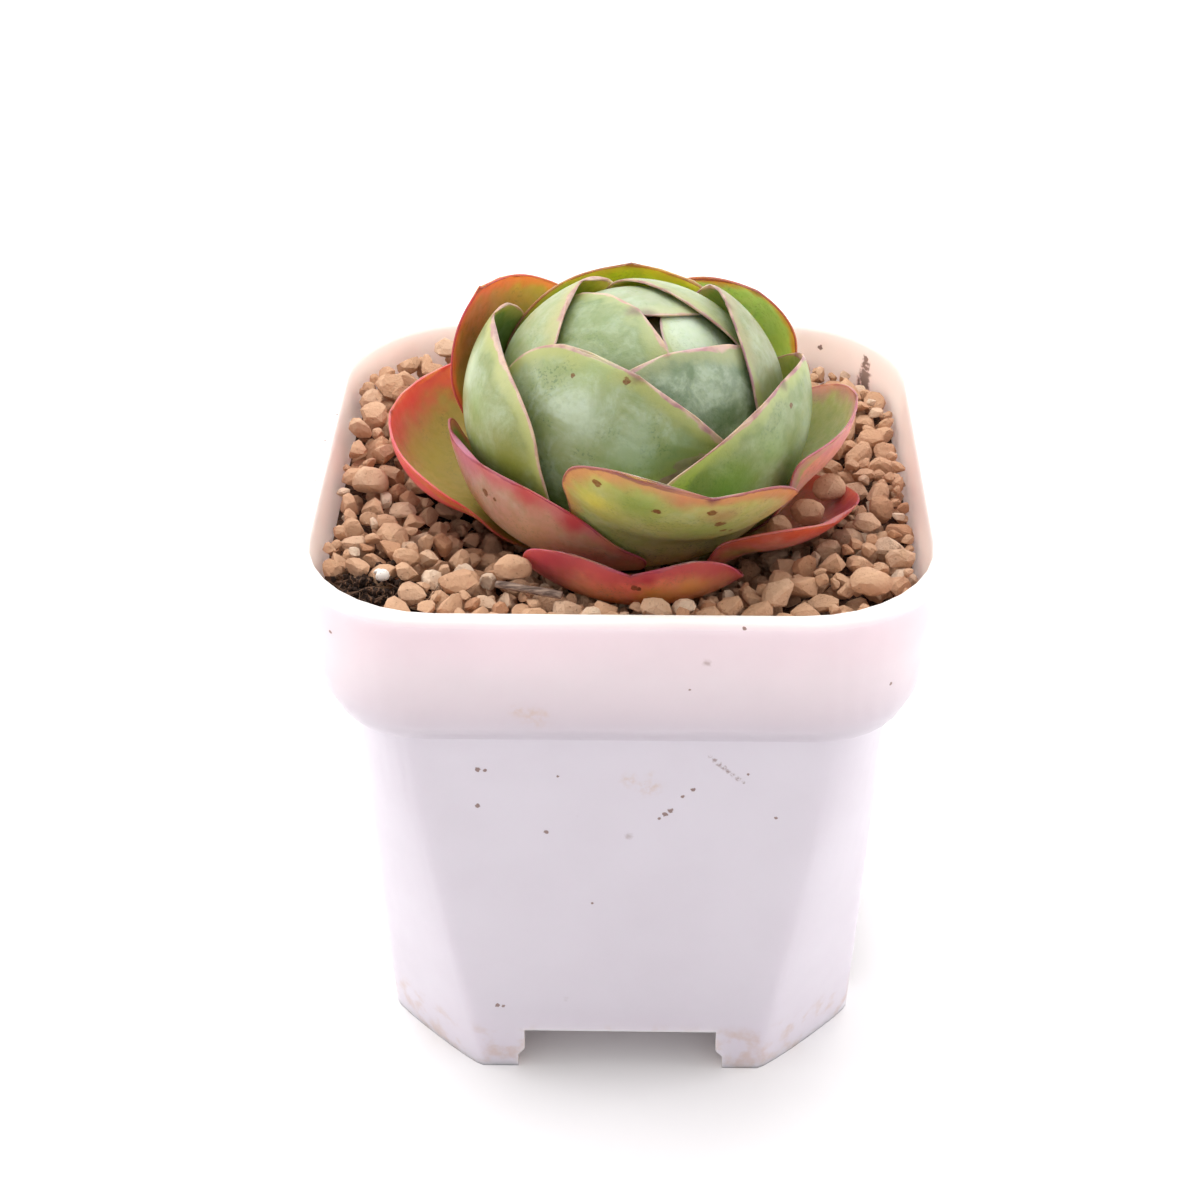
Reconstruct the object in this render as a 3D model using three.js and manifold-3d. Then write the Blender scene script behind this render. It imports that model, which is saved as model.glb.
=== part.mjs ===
// A rosette succulent in its square nursery pot.
// Millimetres, +Z up. The origin is the middle of the pot's footprint, on the surface it stands on,
// and the pot's front face looks along -Y.
import * as THREE from "three";
import { mergeVertices } from "three/addons/utils/BufferGeometryUtils.js";
import Module from "manifold-3d";

// ---- Driving dimensions ----

const POT = {
  height: 68,
  rimHalf: 35, // half of the rim's outside width
  lip: 1.84, // width of the flat lip round the mouth
  collarFoot: 49.9, // height at which the collar steps in to the body
  shelf: 51.6, // height of the step inside the collar
  bodyHalf: 29.1, // half width of the body under the collar
  footHalf: 27.5, // half width of the body at the ground
  wall: 1.5,
  plateUnder: 5.8, // underside of the base plate
  plateTop: 7.4,
  notchHalf: 11.3, // half width of the gap between two feet
  notchFlare: 0.8, // how much that gap widens at the feet's tips
  flareHeight: 2.3,
  drainRadius: 2.6,
  drainReach: 8.5, // from the pot's middle to each drain hole
};
const GAP = 0.3; // clearance kept between touching pieces
const SOIL_TOP = 52.6;
const GRAVEL = { top: 63.6, slope: 0.02, lump: 0.35, lumpLength: 4.6, cells: 20 };
const DISH = { bottom: 54.2, flat: 8, reach: 31, brim: 64.1 }; // the hollow in the gravel under the leaves
const PEAT = { x: -29, y: -23, z: 60.6, size: [6.6, 5, 3] }; // loose potting soil in one corner
const STEM = { bottom: 50, top: 62, neck: 3.4, shoulder: 4.6 };

// The rosette's leaves lie on egg-shaped shells, one outside the other, round this centre.
const ROSETTE = { x: 1.4, y: 0.7, z: 74.3, radius: 13.5, rise: 12.3, riseShare: 0.85 };
const BUD_RADIUS = 18.1; // the shell of the outermost leaves that still wrap the bud
const LEAF_BASE = 60.8; // height that the leaves' own lifts are counted from
const LEAF_START = 20; // degrees from straight down at which a leaf leaves the stem
const LEAF_FOOT = 0.35; // share of a leaf's full width at its foot
const LEAF_POINT = 0.03; // and at its tip
const LEAF_ROWS = 12;
const LOWER_ROWS = 5; // rows between the foot and the widest place
const LEAF_COLUMNS = 8;
const LEAF_EDGE = 0.24; // thickness of the margin

// Stones that lie loose on top: where they lie, their half sizes, and the leaf each rests on, if any.
const STONES = {
  stone_front: { at: [-11.5, -21.1, 65.8], size: [2, 1.4, 1.5] },
  stone_corner: { at: [26.6, -22.6, 65.4], size: [2.4, 1.9, 1.4] },
  stone_side: { at: [-28.6, -2.2, 65.6], size: [2.0, 1.8, 1.7] },
  stone_on_leaf_1: { at: [23.2, -3.4], size: [1.9, 1.6, 1.5], on: "outer_leaf_front_right" },
  stone_on_leaf_2: { at: [20.7, -7.6], size: [1.9, 1.6, 1.5], on: "outer_leaf_front_right" },
  stone_on_leaf_3: { at: [17.4, -9.6], size: [1.4, 1.3, 1.2], on: "outer_leaf_front_right" },
};
const TWIG = { from: [-13.2, -22.9, 65], to: [-6.1, -24.9, 64.9], width: 1.1 };
const PERLITE = { at: [-25.4, -21.4, 65], size: [0.8, 0.7, 0.7] };

// Each leaf: its azimuth (0 is +X, 90 is the back), its shell's radius, how far over the bud its tip
// reaches (degrees from straight down), its half widths left and right (degrees round the shell), and
// its thickness. lean tips it outwards, twist swings the tip round, widest is the share of its length
// at which it is widest, blunt squares off its two shoulders, rise is the shell's height radius where
// that isn't the usual one, and lift is how far its shell's lowest point is above the leaf base. clear
// keeps it outside the bud by that factor, and notch dents the tip: the dent's depth as a share of the
// leaf's length, and its half width in degrees.
const LEAVES = {
  heart_leaf_1: { azimuth: 215, radius: 10.6, reach: 179, width: [60, 60], thick: 0.5 },
  heart_leaf_2: { azimuth: 335, radius: 11.5, reach: 171, width: [52, 52], thick: 0.5 },
  heart_leaf_3: { azimuth: 88, radius: 12.4, reach: 176, width: [46, 46], thick: 0.5 },
  crown_leaf_right: {
    azimuth: -28, radius: 13.3, reach: 167, width: [33, 47], twist: 6, blunt: [2.2, 1.9], thick: 0.45,
  },
  crown_leaf_back: { azimuth: 91, radius: 14, reach: 193, width: [44, 42], twist: -5, thick: 0.4 },
  crown_leaf_left: {
    azimuth: 216, radius: 14.7, reach: 173, width: [66, 69], twist: 11, blunt: [2.4, 2.4], thick: 0.4,
  },
  bud_leaf_back: { azimuth: 51, radius: 14.9, reach: 168, width: [57, 59], twist: -6, thick: 0.4 },
  bud_leaf_front: {
    azimuth: -60, radius: 15.9, reach: 140, width: [60, 86], twist: -7, blunt: [2.1, 2.6], thick: 0.45,
  },
  bud_leaf_left: {
    azimuth: 168, radius: 16, reach: 154, width: [67, 56], twist: -9, widest: 0.7, blunt: [3.4, 3.2],
    thick: 0.4,
  },
  bud_leaf_right: {
    azimuth: 16, radius: 16.5, reach: 146, width: [46, 64], twist: -9, lean: 1, thick: 0.45,
  },
  wrap_leaf_front: {
    azimuth: -136, radius: 17, reach: 141, width: [45, 84], twist: 35, widest: 0.75, blunt: [3.4, 2.4],
    thick: 0.45,
  },
  wrap_leaf_back: {
    azimuth: 99, radius: 17.6, reach: 132, width: [66, 53], twist: -4, lean: 5, blunt: [1.9, 2.2], thick: 0.5,
  },
  wrap_leaf_right: {
    azimuth: -17, radius: 18.2, reach: 121, width: [62, 66], twist: -12, lean: 6, thick: 0.5,
  },
  wrap_leaf_left: {
    azimuth: 188, radius: 18.1, reach: 132, width: [49, 60], twist: -12, lean: 5, widest: 0.6, blunt: [3.4, 4],
    thick: 0.5,
  },
  cup_leaf_back_right: {
    azimuth: 54, radius: 18.9, reach: 136, width: [20, 56], twist: -14, lean: 11, widest: 0.7, rise: 14.4,
    lift: -0.9, clear: 1.06, thick: 0.6,
  },
  cup_leaf_back_left: {
    azimuth: 142, radius: 18.4, reach: 129, width: [54, 28], twist: 14, lean: 12, widest: 0.6, rise: 16,
    lift: -0.2, clear: 1.1, thick: 0.6,
  },
  cup_leaf_front: {
    azimuth: -65, radius: 18.4, reach: 111, width: [55, 35], twist: -13, lean: 35, widest: 0.5,
    blunt: [3.1, 2.3], rise: 20, lift: 3.8, clear: 1.12, notch: [0.1, 20], thick: 0.8,
  },
  cup_leaf_right: {
    azimuth: 15, radius: 19, reach: 104, width: [54, 32], twist: -15, lean: 26, widest: 0.6, rise: 15,
    lift: 1.9, clear: 1.17, thick: 0.8,
  },
  cup_leaf_front_left: {
    azimuth: 229, radius: 18.4, reach: 114, width: [57, 44], twist: -11, lean: 12, widest: 0.4,
    blunt: [3.8, 3], rise: 12.5, lift: -2, clear: 1.17, thick: 0.8,
  },
  outer_leaf_front_right: {
    azimuth: -18, radius: 18.8, reach: 94, width: [49, 33], twist: -6, lean: 40, widest: 0.45,
    blunt: [3.4, 1.7], rise: 16.2, lift: 0.6, clear: 1.25, thick: 0.9,
  },
  outer_leaf_left: {
    azimuth: 172, radius: 19.6, reach: 117, width: [66, 48], twist: 6, lean: 41, widest: 0.6, rise: 14.3,
    lift: 2.3, clear: 1.28, thick: 0.9,
  },
  outer_leaf_front: {
    azimuth: -84, radius: 20, reach: 111, width: [40, 33], twist: -8, lean: 29, widest: 0.5,
    blunt: [3.5, 4], rise: 12.4, lift: -1.3, clear: 1.31, notch: [0.08, 9], thick: 0.9,
  },
  outer_leaf_back: {
    azimuth: 92, radius: 19.5, reach: 108, width: [36, 32], lean: 36, widest: 0.6, rise: 13.5, lift: 0,
    clear: 1.27, thick: 0.9,
  },
};

const wasm = await Module();
wasm.setup();

// ---- Small helpers ----

const radians = THREE.MathUtils.degToRad;

function finish(colour, roughness) {
  return new THREE.MeshStandardMaterial({ color: colour, roughness, metalness: 0 });
}

function toSolid(geometry) {
  const bare = geometry.clone();
  bare.deleteAttribute("normal");
  bare.deleteAttribute("uv");
  const merged = mergeVertices(bare, 1e-4);
  return new wasm.Manifold(
    new wasm.Mesh({
      numProp: 3,
      vertProperties: merged.getAttribute("position").array,
      triVerts: new Uint32Array(merged.index.array),
    }),
  );
}

function toGeometry(solid) {
  const mesh = solid.getMesh();
  const geometry = new THREE.BufferGeometry();
  geometry.setAttribute("position", new THREE.BufferAttribute(mesh.vertProperties, 3));
  geometry.setIndex(new THREE.BufferAttribute(mesh.triVerts, 1));
  return geometry;
}

const part = new THREE.Group();

function addPiece(name, geometry, material) {
  const mesh = new THREE.Mesh(geometry, material);
  mesh.name = name;
  part.add(mesh);
}

// ---- The pot ----

// A square outline with its corners cut back by `corner`. `round` is 0.55 for an arc and 0 for a plain
// chamfer.
function squareOutline(half, corner, round) {
  const bend = corner * round;
  const shape = new THREE.Shape();
  shape.moveTo(-(half - corner), -half);
  for (let turn = 0; turn < 4; turn++) {
    const spin = (x, y) => new THREE.Vector2(x, y).rotateAround(new THREE.Vector2(), (turn * Math.PI) / 2);
    const before = spin(half - corner, -half);
    const pullIn = spin(half - corner + bend, -half);
    const pullOut = spin(half, -(half - corner) - bend);
    const after = spin(half, -(half - corner));
    shape.lineTo(before.x, before.y);
    shape.bezierCurveTo(pullIn.x, pullIn.y, pullOut.x, pullOut.y, after.x, after.y);
  }
  return shape;
}

// A closed solid through outlines stacked from the bottom up, each [height, half, corner, round].
function stack(levels) {
  const perCorner = 8;
  const rings = levels.map(([, half, corner, round]) => {
    const points = squareOutline(half, corner, round).getPoints(perCorner);
    return points.slice(0, -1);
  });
  const around = rings[0].length;
  const column = new THREE.CylinderGeometry(1, 1, 1, around, levels.length - 1, false);
  const position = column.getAttribute("position");
  for (let i = 0; i < position.count; i++) {
    const onAxis = Math.hypot(position.getX(i), position.getZ(i)) < 0.5;
    const level = Math.round((position.getY(i) + 0.5) * (levels.length - 1));
    const turn = Math.atan2(position.getX(i), position.getZ(i)) / (2 * Math.PI);
    const point = rings[level][((Math.round(turn * around) % around) + around) % around];
    if (onAxis) position.setXYZ(i, 0, 0, levels[level][0]);
    else position.setXYZ(i, point.x, point.y, levels[level][0]);
  }
  return toSolid(column);
}

const ARC = 0.55;
const rimCorner = 15.4;
const outerLevels = [
  [0, POT.footHalf, 11.2, 0.1],
  [20, POT.footHalf + 0.64, 8.8, 0.16],
  [38, POT.footHalf + 1.22, 7.2, 0.32],
  [POT.collarFoot - 0.01, POT.bodyHalf, 7, ARC],
  [POT.collarFoot, 29.9, 9.5, ARC],
  [50.7, 31.3, 10.4, ARC],
  [53, 32.5, 11.8, ARC],
  [56, 33.2, 12.8, ARC],
  [62, 34.2, 14.4, ARC],
  [POT.height - 0.8, POT.rimHalf, rimCorner, ARC],
  [POT.height, 34.3, rimCorner - 0.7, ARC],
];
const mouthHalf = POT.rimHalf - POT.lip;
const cavityLevels = [
  [POT.plateTop, POT.footHalf + 0.2 - POT.wall, 9.6, 0.12],
  [20, POT.footHalf + 0.64 - POT.wall, 8, 0.16],
  [38, POT.footHalf + 1.22 - POT.wall, 6.3, 0.32],
  [POT.shelf - 1.2, POT.bodyHalf - POT.wall, 5.9, ARC],
  [POT.shelf, 31, 10.2, ARC],
  [56, 31.7, 11.6, ARC],
  [62, 32.7, 13.6, ARC],
  [POT.height - 0.6, mouthHalf, 14.4, ARC],
  [POT.height + 1, mouthHalf + 0.5, 14.9, ARC],
];

// The space under the base plate, which leaves four hollow corner feet.
const recessLevels = [
  [-1, POT.footHalf - POT.wall, 10.8, 0.1],
  [POT.plateUnder, POT.footHalf + 0.18 - POT.wall, 10.5, 0.13],
];

function potSolid() {
  const cavity = stack(cavityLevels);
  const recess = stack(recessLevels);
  let pot = stack(outerLevels).subtract(cavity).subtract(recess);
  const gap = new THREE.Shape();
  gap.moveTo(-POT.notchHalf - POT.notchFlare, -1);
  gap.lineTo(POT.notchHalf + POT.notchFlare, -1);
  gap.lineTo(POT.notchHalf + POT.notchFlare, POT.flareHeight - 0.5);
  gap.lineTo(POT.notchHalf, POT.flareHeight + 0.5);
  gap.lineTo(POT.notchHalf, POT.plateUnder);
  gap.lineTo(-POT.notchHalf, POT.plateUnder);
  gap.lineTo(-POT.notchHalf, POT.flareHeight + 0.5);
  gap.lineTo(-POT.notchHalf - POT.notchFlare, POT.flareHeight - 0.5);
  gap.closePath();
  for (const turn of [0, Math.PI / 2]) {
    const tunnel = new THREE.ExtrudeGeometry(gap, { depth: 4 * POT.footHalf, bevelEnabled: false });
    tunnel.translate(0, 0, -2 * POT.footHalf);
    tunnel.rotateX(Math.PI / 2);
    tunnel.rotateZ(turn);
    pot = pot.subtract(toSolid(tunnel));
  }
  for (const [x, y] of [[1, 1], [1, -1], [-1, 1], [-1, -1], [0, 0]]) {
    const hole = new THREE.CylinderGeometry(POT.drainRadius, POT.drainRadius, 6, 16);
    hole.rotateX(Math.PI / 2);
    hole.translate(x * POT.drainReach, y * POT.drainReach, POT.plateTop);
    pot = pot.subtract(toSolid(hole));
  }
  return pot;
}

// ---- What fills the pot ----

// The inside of the pot less the clearance, between two heights.
function filling(bottom, top) {
  const inset = cavityLevels.map(([z, half, corner, round]) => [z, half - GAP, corner, round]);
  const block = new THREE.BoxGeometry(2 * POT.rimHalf, 2 * POT.rimHalf, top - bottom);
  block.translate(0, 0, (top + bottom) / 2);
  return stack(inset).intersect(toSolid(block));
}

function cylinderAt(radius, bottom, top) {
  const post = new THREE.CylinderGeometry(radius, radius, top - bottom, 20);
  post.rotateX(Math.PI / 2);
  post.translate(ROSETTE.x, ROSETTE.y, (top + bottom) / 2);
  return toSolid(post);
}

// The gravel's surface: a gentle slope with lumps, dished under the rosette.
function gravelHeight(x, y) {
  const lumps = Math.sin(x / GRAVEL.lumpLength + 1) * Math.cos(y / GRAVEL.lumpLength) * GRAVEL.lump;
  const level = GRAVEL.top - x * GRAVEL.slope + lumps;
  const out = Math.hypot(x - ROSETTE.x, y - ROSETTE.y);
  const climb = THREE.MathUtils.smoothstep(out, DISH.flat, DISH.reach);
  const dish = DISH.bottom + (DISH.brim - DISH.bottom) * climb;
  return Math.min(level, dish);
}

function gravelSolid() {
  const floor = SOIL_TOP + GAP;
  const width = 2 * POT.rimHalf;
  const field = new THREE.BoxGeometry(width, width, 1, GRAVEL.cells, GRAVEL.cells, 1);
  const position = field.getAttribute("position");
  for (let i = 0; i < position.count; i++) {
    const onTop = position.getZ(i) > 0;
    position.setZ(i, onTop ? gravelHeight(position.getX(i), position.getY(i)) : floor - 1);
  }
  return toSolid(field)
    .intersect(filling(floor, POT.height))
    .subtract(toSolid(lump([PEAT.x, PEAT.y, PEAT.z], PEAT.size.map((half) => half + GAP))))
    .subtract(cylinderAt(STEM.shoulder + GAP, floor - 2, POT.height));
}

// A rounded stone or clod with flats and hollows, from a 20-sided ball.
function lump(centre, size) {
  const ball = new THREE.IcosahedronGeometry(1, 1);
  const position = ball.getAttribute("position");
  const seed = centre[0] + 2 * centre[1];
  const point = new THREE.Vector3();
  for (let i = 0; i < position.count; i++) {
    point.fromBufferAttribute(position, i);
    const swell = 1 + 0.09 * Math.sin(3 * point.x + seed) * Math.cos(2.5 * point.y - seed + point.z);
    position.setXYZ(i, point.x * swell * size[0], point.y * swell * size[1], point.z * swell * size[2]);
  }
  return ball.translate(...centre);
}

// The height of a leaf's inner face at a place seen from above.
function restingHeight(leaf, x, y) {
  const steps = 40;
  let nearest = Infinity;
  let height = 0;
  for (let row = 0; row <= steps; row++) {
    for (let column = 0; column <= steps; column++) {
      const point = leafPoint(leaf, row / steps, (2 * column) / steps - 1);
      const away = Math.hypot(point.x - x, point.y - y);
      if (away < nearest) {
        nearest = away;
        height = point.z;
      }
    }
  }
  return height + leaf.thick / 2;
}

function stone({ at, size, on }) {
  const [x, y, z] = at;
  const slopeRoom = 1.25; // the leaf under it slopes, so it rides a little above its own half height
  const rest = on ? restingHeight(LEAVES[on], x, y) + size[2] * slopeRoom + GAP : z;
  return lump([x, y, rest], size);
}

function twig() {
  const from = new THREE.Vector3(...TWIG.from);
  const to = new THREE.Vector3(...TWIG.to);
  const rod = new THREE.CylinderGeometry(TWIG.width / 2, TWIG.width / 2.3, from.distanceTo(to), 8, 4);
  rod.scale(1, 1, 0.7);
  const turn = new THREE.Quaternion().setFromUnitVectors(
    new THREE.Vector3(0, 1, 0),
    to.clone().sub(from).normalize(),
  );
  return rod.applyQuaternion(turn).translate(...from.add(to).multiplyScalar(0.5).toArray());
}

function stemSolid() {
  const points = [
    [0, STEM.bottom],
    [1.6, STEM.bottom],
    [STEM.neck, STEM.bottom + 3],
    [STEM.shoulder, 55.4],
    [STEM.shoulder - 0.8, 57.4],
    [STEM.neck, 59.5],
    [2.6, STEM.top - 0.6],
    [0, STEM.top],
  ];
  const stem = new THREE.LatheGeometry(points.map(([r, z]) => new THREE.Vector2(r, z)), 18);
  stem.rotateX(Math.PI / 2);
  stem.translate(ROSETTE.x, ROSETTE.y, 0);
  return stem;
}

// ---- Leaves ----

function usualRise(radius) {
  return ROSETTE.rise + ROSETTE.riseShare * (radius - ROSETTE.radius);
}

// Half the leaf's width at `along`, 0 at the foot and 1 at the tip, as a share of the full half width.
function widthShare(along, widest, blunt) {
  if (along < widest) return LEAF_FOOT + (1 - LEAF_FOOT) * Math.sin(((along / widest) * Math.PI) / 2);
  const past = (along - widest) / (1 - widest);
  return Math.max(LEAF_POINT, (1 - past ** blunt) ** (1 / blunt));
}

// A point on the leaf's middle surface. across runs from -1 at one margin to 1 at the other.
function leafPoint(leaf, along, across) {
  const { azimuth, radius, reach, width, twist = 0, lean = 0, widest = 0.62, blunt = [2, 2] } = leaf;
  const rise = leaf.rise ?? usualRise(radius);
  const lift = leaf.lift === undefined ? ROSETTE.z - rise : LEAF_BASE + leaf.lift;
  const start = radians(LEAF_START);
  const half = across < 0 ? 0 : 1;
  const sideways = width[half] * widthShare(along, widest, blunt[half]) * across;
  const [depth, spread] = leaf.notch ?? [0, 1];
  const dent = depth * along ** 4 * Math.exp(-((sideways / spread) ** 2));
  const up = start + (radians(reach) - start) * (along - dent);
  const round = radians(sideways) + radians(twist) * along ** 1.5;
  const point = new THREE.Vector3(
    radius * Math.cos(round) * Math.sin(up),
    radius * Math.sin(round),
    rise * (1 - Math.cos(round) * Math.cos(up)),
  );
  const foot = new THREE.Vector3(radius * Math.sin(start), 0, rise * (1 - Math.cos(start)));
  point.sub(foot).applyAxisAngle(new THREE.Vector3(0, 1, 0), radians(lean)).add(foot);
  point.applyAxisAngle(new THREE.Vector3(0, 0, 1), radians(azimuth));
  point.add(new THREE.Vector3(ROSETTE.x, ROSETTE.y, lift));
  return leaf.clear ? keepClear(point, leaf.clear) : point;
}

// Pushes a point out of the space that the bud takes up: a shell `clear` times as wide as the wrapping
// leaves' own, and higher by half as much.
function keepClear(point, clear) {
  const centre = new THREE.Vector3(ROSETTE.x, ROSETTE.y, ROSETTE.z);
  const from = point.clone().sub(centre);
  const radius = BUD_RADIUS * clear;
  const rise = usualRise(BUD_RADIUS) + (radius - BUD_RADIUS) / 2;
  const level = Math.hypot(from.x / radius, from.y / radius, from.z / rise);
  return level < 1 ? centre.add(from.divideScalar(level)) : point;
}

// Rows are even up to the widest place and crowd towards the tip, where the outline turns fastest.
function rowAlong(row, widest) {
  if (row <= LOWER_ROWS) return (widest * row) / LOWER_ROWS;
  return widest + (1 - widest) * Math.sin(((row - LOWER_ROWS) / (LEAF_ROWS - LOWER_ROWS)) * (Math.PI / 2));
}

function leafSolid(leaf) {
  const slab = new THREE.BoxGeometry(2, LEAF_ROWS, 2, LEAF_COLUMNS, LEAF_ROWS, 1);
  const position = slab.getAttribute("position");
  const step = 0.004;
  for (let i = 0; i < position.count; i++) {
    const across = position.getX(i);
    const along = rowAlong(Math.round(position.getY(i) + LEAF_ROWS / 2), leaf.widest ?? 0.62);
    const middle = leafPoint(leaf, along, across);
    const back = Math.min(along, 1 - step);
    const lengthwise = leafPoint(leaf, back + step, across).sub(leafPoint(leaf, back, across));
    const inner = THREE.MathUtils.clamp(across, -1 + step, 1 - step);
    const sideways = leafPoint(leaf, back, inner + step).sub(leafPoint(leaf, back, inner - step));
    const outward = new THREE.Vector3().crossVectors(sideways, lengthwise).normalize();
    const body = (1 - Math.abs(across) ** 2.5) * (1 - along ** 6);
    const thickness = LEAF_EDGE + (leaf.thick - LEAF_EDGE) * body;
    middle.addScaledVector(outward, (Math.sign(position.getZ(i)) * thickness) / 2);
    position.setXYZ(i, middle.x, middle.y, middle.z);
  }
  return slab;
}

// ---- The assembly ----

const stemHole = cylinderAt(STEM.neck + GAP, STEM.bottom - GAP, POT.height);
const soil = filling(POT.plateTop + GAP, SOIL_TOP).subtract(stemHole);
const peat = toSolid(lump([PEAT.x, PEAT.y, PEAT.z], PEAT.size)).intersect(filling(SOIL_TOP + GAP, POT.height));

addPiece("pot", toGeometry(potSolid()), finish(0xe9e4ea, 0.35));
addPiece("potting_soil", toGeometry(soil), finish(0x3b2a20, 0.95));
addPiece("gravel_bed", toGeometry(gravelSolid()), finish(0xc49a72, 0.9));
addPiece("peat_clump", toGeometry(peat), finish(0x33241b, 0.95));
addPiece("perlite_grain", lump(PERLITE.at, PERLITE.size), finish(0xf2efe8, 0.8));
addPiece("twig", twig(), finish(0x8c7468, 0.85));
for (const [name, place] of Object.entries(STONES)) addPiece(name, stone(place), finish(0xcfa27a, 0.9));
addPiece("stem", stemSolid(), finish(0x8a6a4a, 0.8));
for (const [name, leaf] of Object.entries(LEAVES)) addPiece(name, leafSolid(leaf), finish(0x86a05e, 0.5));

export default part;
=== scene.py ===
import heapq
import math
import random

import bmesh
import bpy
import numpy as np
from mathutils import Euler, Matrix, Vector, noise
from mathutils.bvhtree import BVHTree
from mathutils.kdtree import KDTree


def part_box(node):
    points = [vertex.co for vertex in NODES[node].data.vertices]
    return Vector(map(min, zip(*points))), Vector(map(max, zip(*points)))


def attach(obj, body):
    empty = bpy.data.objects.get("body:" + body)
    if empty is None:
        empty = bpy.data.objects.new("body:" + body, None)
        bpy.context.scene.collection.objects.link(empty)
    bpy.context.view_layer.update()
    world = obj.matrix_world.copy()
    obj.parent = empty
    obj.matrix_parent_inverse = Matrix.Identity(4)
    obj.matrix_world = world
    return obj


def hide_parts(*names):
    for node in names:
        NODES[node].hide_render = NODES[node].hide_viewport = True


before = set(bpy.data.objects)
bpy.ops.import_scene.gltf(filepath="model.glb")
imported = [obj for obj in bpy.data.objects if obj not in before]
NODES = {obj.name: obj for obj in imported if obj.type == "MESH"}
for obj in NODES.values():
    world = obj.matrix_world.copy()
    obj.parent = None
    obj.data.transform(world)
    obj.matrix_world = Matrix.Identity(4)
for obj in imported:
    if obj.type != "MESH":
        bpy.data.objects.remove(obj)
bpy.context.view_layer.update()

bl_info = {
    "name": "Potted rosette succulent",
    "version": (1, 0, 0),
    "blender": (4, 5, 0),
    "location": "3D View > Sidebar > Succulent",
    "description": "Dresses a small rosette plant, its gravel and its nursery pot",
    "category": "Add Mesh",
}

MM = 0.001
STEM_LOW, STEM_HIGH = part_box("stem")
POT_LOW, POT_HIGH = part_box("pot")
BED_LOW, BED_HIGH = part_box("gravel_bed")
ROSETTE = (STEM_LOW + STEM_HIGH) / 2  # the stem stands on the rosette's axis
BODY = "root"
FIBRES = 46


# ---- Colours ----


def colour(code):
    """A linear colour from a web colour such as #7f9a6e."""
    parts = [int(code[i : i + 2], 16) / 255 for i in (1, 3, 5)]
    return tuple(c / 12.92 if c < 0.04045 else ((c + 0.055) / 1.055) ** 2.4 for c in parts)


def colour_setting(name, text, code):
    return bpy.props.FloatVectorProperty(
        name=name, description=text, subtype="COLOR", size=3, min=0.0, max=1.0, default=colour(code)
    )


def length_setting(name, text, millimetres):
    return bpy.props.FloatProperty(
        name=name, description=text, unit="LENGTH", subtype="DISTANCE", precision=5,
        default=millimetres * MM,
    )


def share_setting(name, text, value, top=1.0):
    return bpy.props.FloatProperty(name=name, description=text, min=0.0, max=top, default=value)


def angle_setting(name, text, degrees):
    return bpy.props.FloatProperty(
        name=name, description=text, unit="ROTATION", subtype="ANGLE", default=math.radians(degrees)
    )


class StageSettings(bpy.types.PropertyGroup):
    floor: colour_setting("Floor", "Colour of the floor", "#f7f6f5")
    sky: share_setting("Sky", "Strength of the even light from all round", 0.86, 5.0)
    key: share_setting("Key", "Power of the large light above and behind, in watts", 4.4, 200.0)
    side: share_setting("Side", "Power of the light at each side, in watts", 1.5, 200.0)
    lens: bpy.props.FloatProperty(
        name="Lens", description="Focal length on a 36 mm sensor", unit="CAMERA", default=72.18
    )
    distance: length_setting("Distance", "From the camera to the middle of the pot", 290.977)
    aim_height: length_setting("Aim height", "Height of the point the camera circles", 35)
    elevation: angle_setting("Elevation", "How high the camera stands", 34.908)
    yaw: angle_setting("Yaw", "How far round the camera stands", 0.849)
    pan: angle_setting("Pan", "How far the camera turns aside from its aim", -0.554)
    tilt: angle_setting("Tilt", "How far the camera tips up from its aim", 2.217)


class PotSettings(bpy.types.PropertyGroup):
    plastic: colour_setting("Plastic", "Colour of the body", "#d4cdd6")
    # Painted light: the collar's colour is paler and pinker than the body's, for light from the gravel
    # shining through the plastic.
    collar: colour_setting("Collar", "Colour of the thicker collar", "#dfd0d5")
    # Painted light: the lining colour is a near-white, pinker copy of the plastic, for light shining through
    # the wall from behind.
    lit_lining: colour_setting("Lining", "Colour of the wall's inside above the gravel", "#ffe9e3")
    dirt: colour_setting("Dirt", "Colour of splashed soil", "#7a5848")
    edge_radius: length_setting("Edge radius", "Rounding of the moulded edges", 0.3)


class GravelSettings(bpy.types.PropertyGroup):
    tan: colour_setting("Tan", "The commonest colour of grain", "#d8ad8b")
    rust: colour_setting("Rust", "Colour of the darker grains", "#c08e6c")
    pale: colour_setting("Pale", "Colour of the palest grains", "#ead0b6")
    smallest: length_setting("Smallest", "Half width of the smallest grains", 1.25)
    largest: length_setting("Largest", "Half width of the largest grains", 2.55)
    tries: bpy.props.IntProperty(name="Tries", description="Grains dropped in", default=6000, min=1)
    seed: bpy.props.IntProperty(name="Seed", description="Start of the random numbers", default=7)


class SoilSettings(bpy.types.PropertyGroup):
    peat: colour_setting("Peat", "Colour of the potting soil", "#2c1d15")
    fibre: colour_setting("Fibre", "Colour of the fibres in it", "#7a5a43")
    perlite: colour_setting("Perlite", "Colour of the white grains", "#f1ece4")
    crumbs: bpy.props.IntProperty(name="Crumbs", description="Loose crumbs of soil", default=150, min=0)
    seed: bpy.props.IntProperty(name="Seed", description="Start of the random numbers", default=11)


class LeafSettings(bpy.types.PropertyGroup):
    bloom: colour_setting("Bloom", "Colour of the waxy bloom", "#bfccb4")
    fleck: colour_setting("Fleck", "Colour of the fine dark flecks", "#4e6a44")
    scar: colour_setting("Scar", "Colour of old scars", "#6e3f1c")
    margin: length_setting("Margin", "Width of the coloured margin line", 0.25)
    ripple: length_setting("Ripple", "How far the margins wander", 0.16)


SETTINGS = {
    "stage": StageSettings,
    "pot": PotSettings,
    "gravel": GravelSettings,
    "soil": SoilSettings,
    "leaves": LeafSettings,
}


def settings(name):
    return getattr(bpy.context.scene, "succulent_" + name)


# ---- Shader helpers ----


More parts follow.
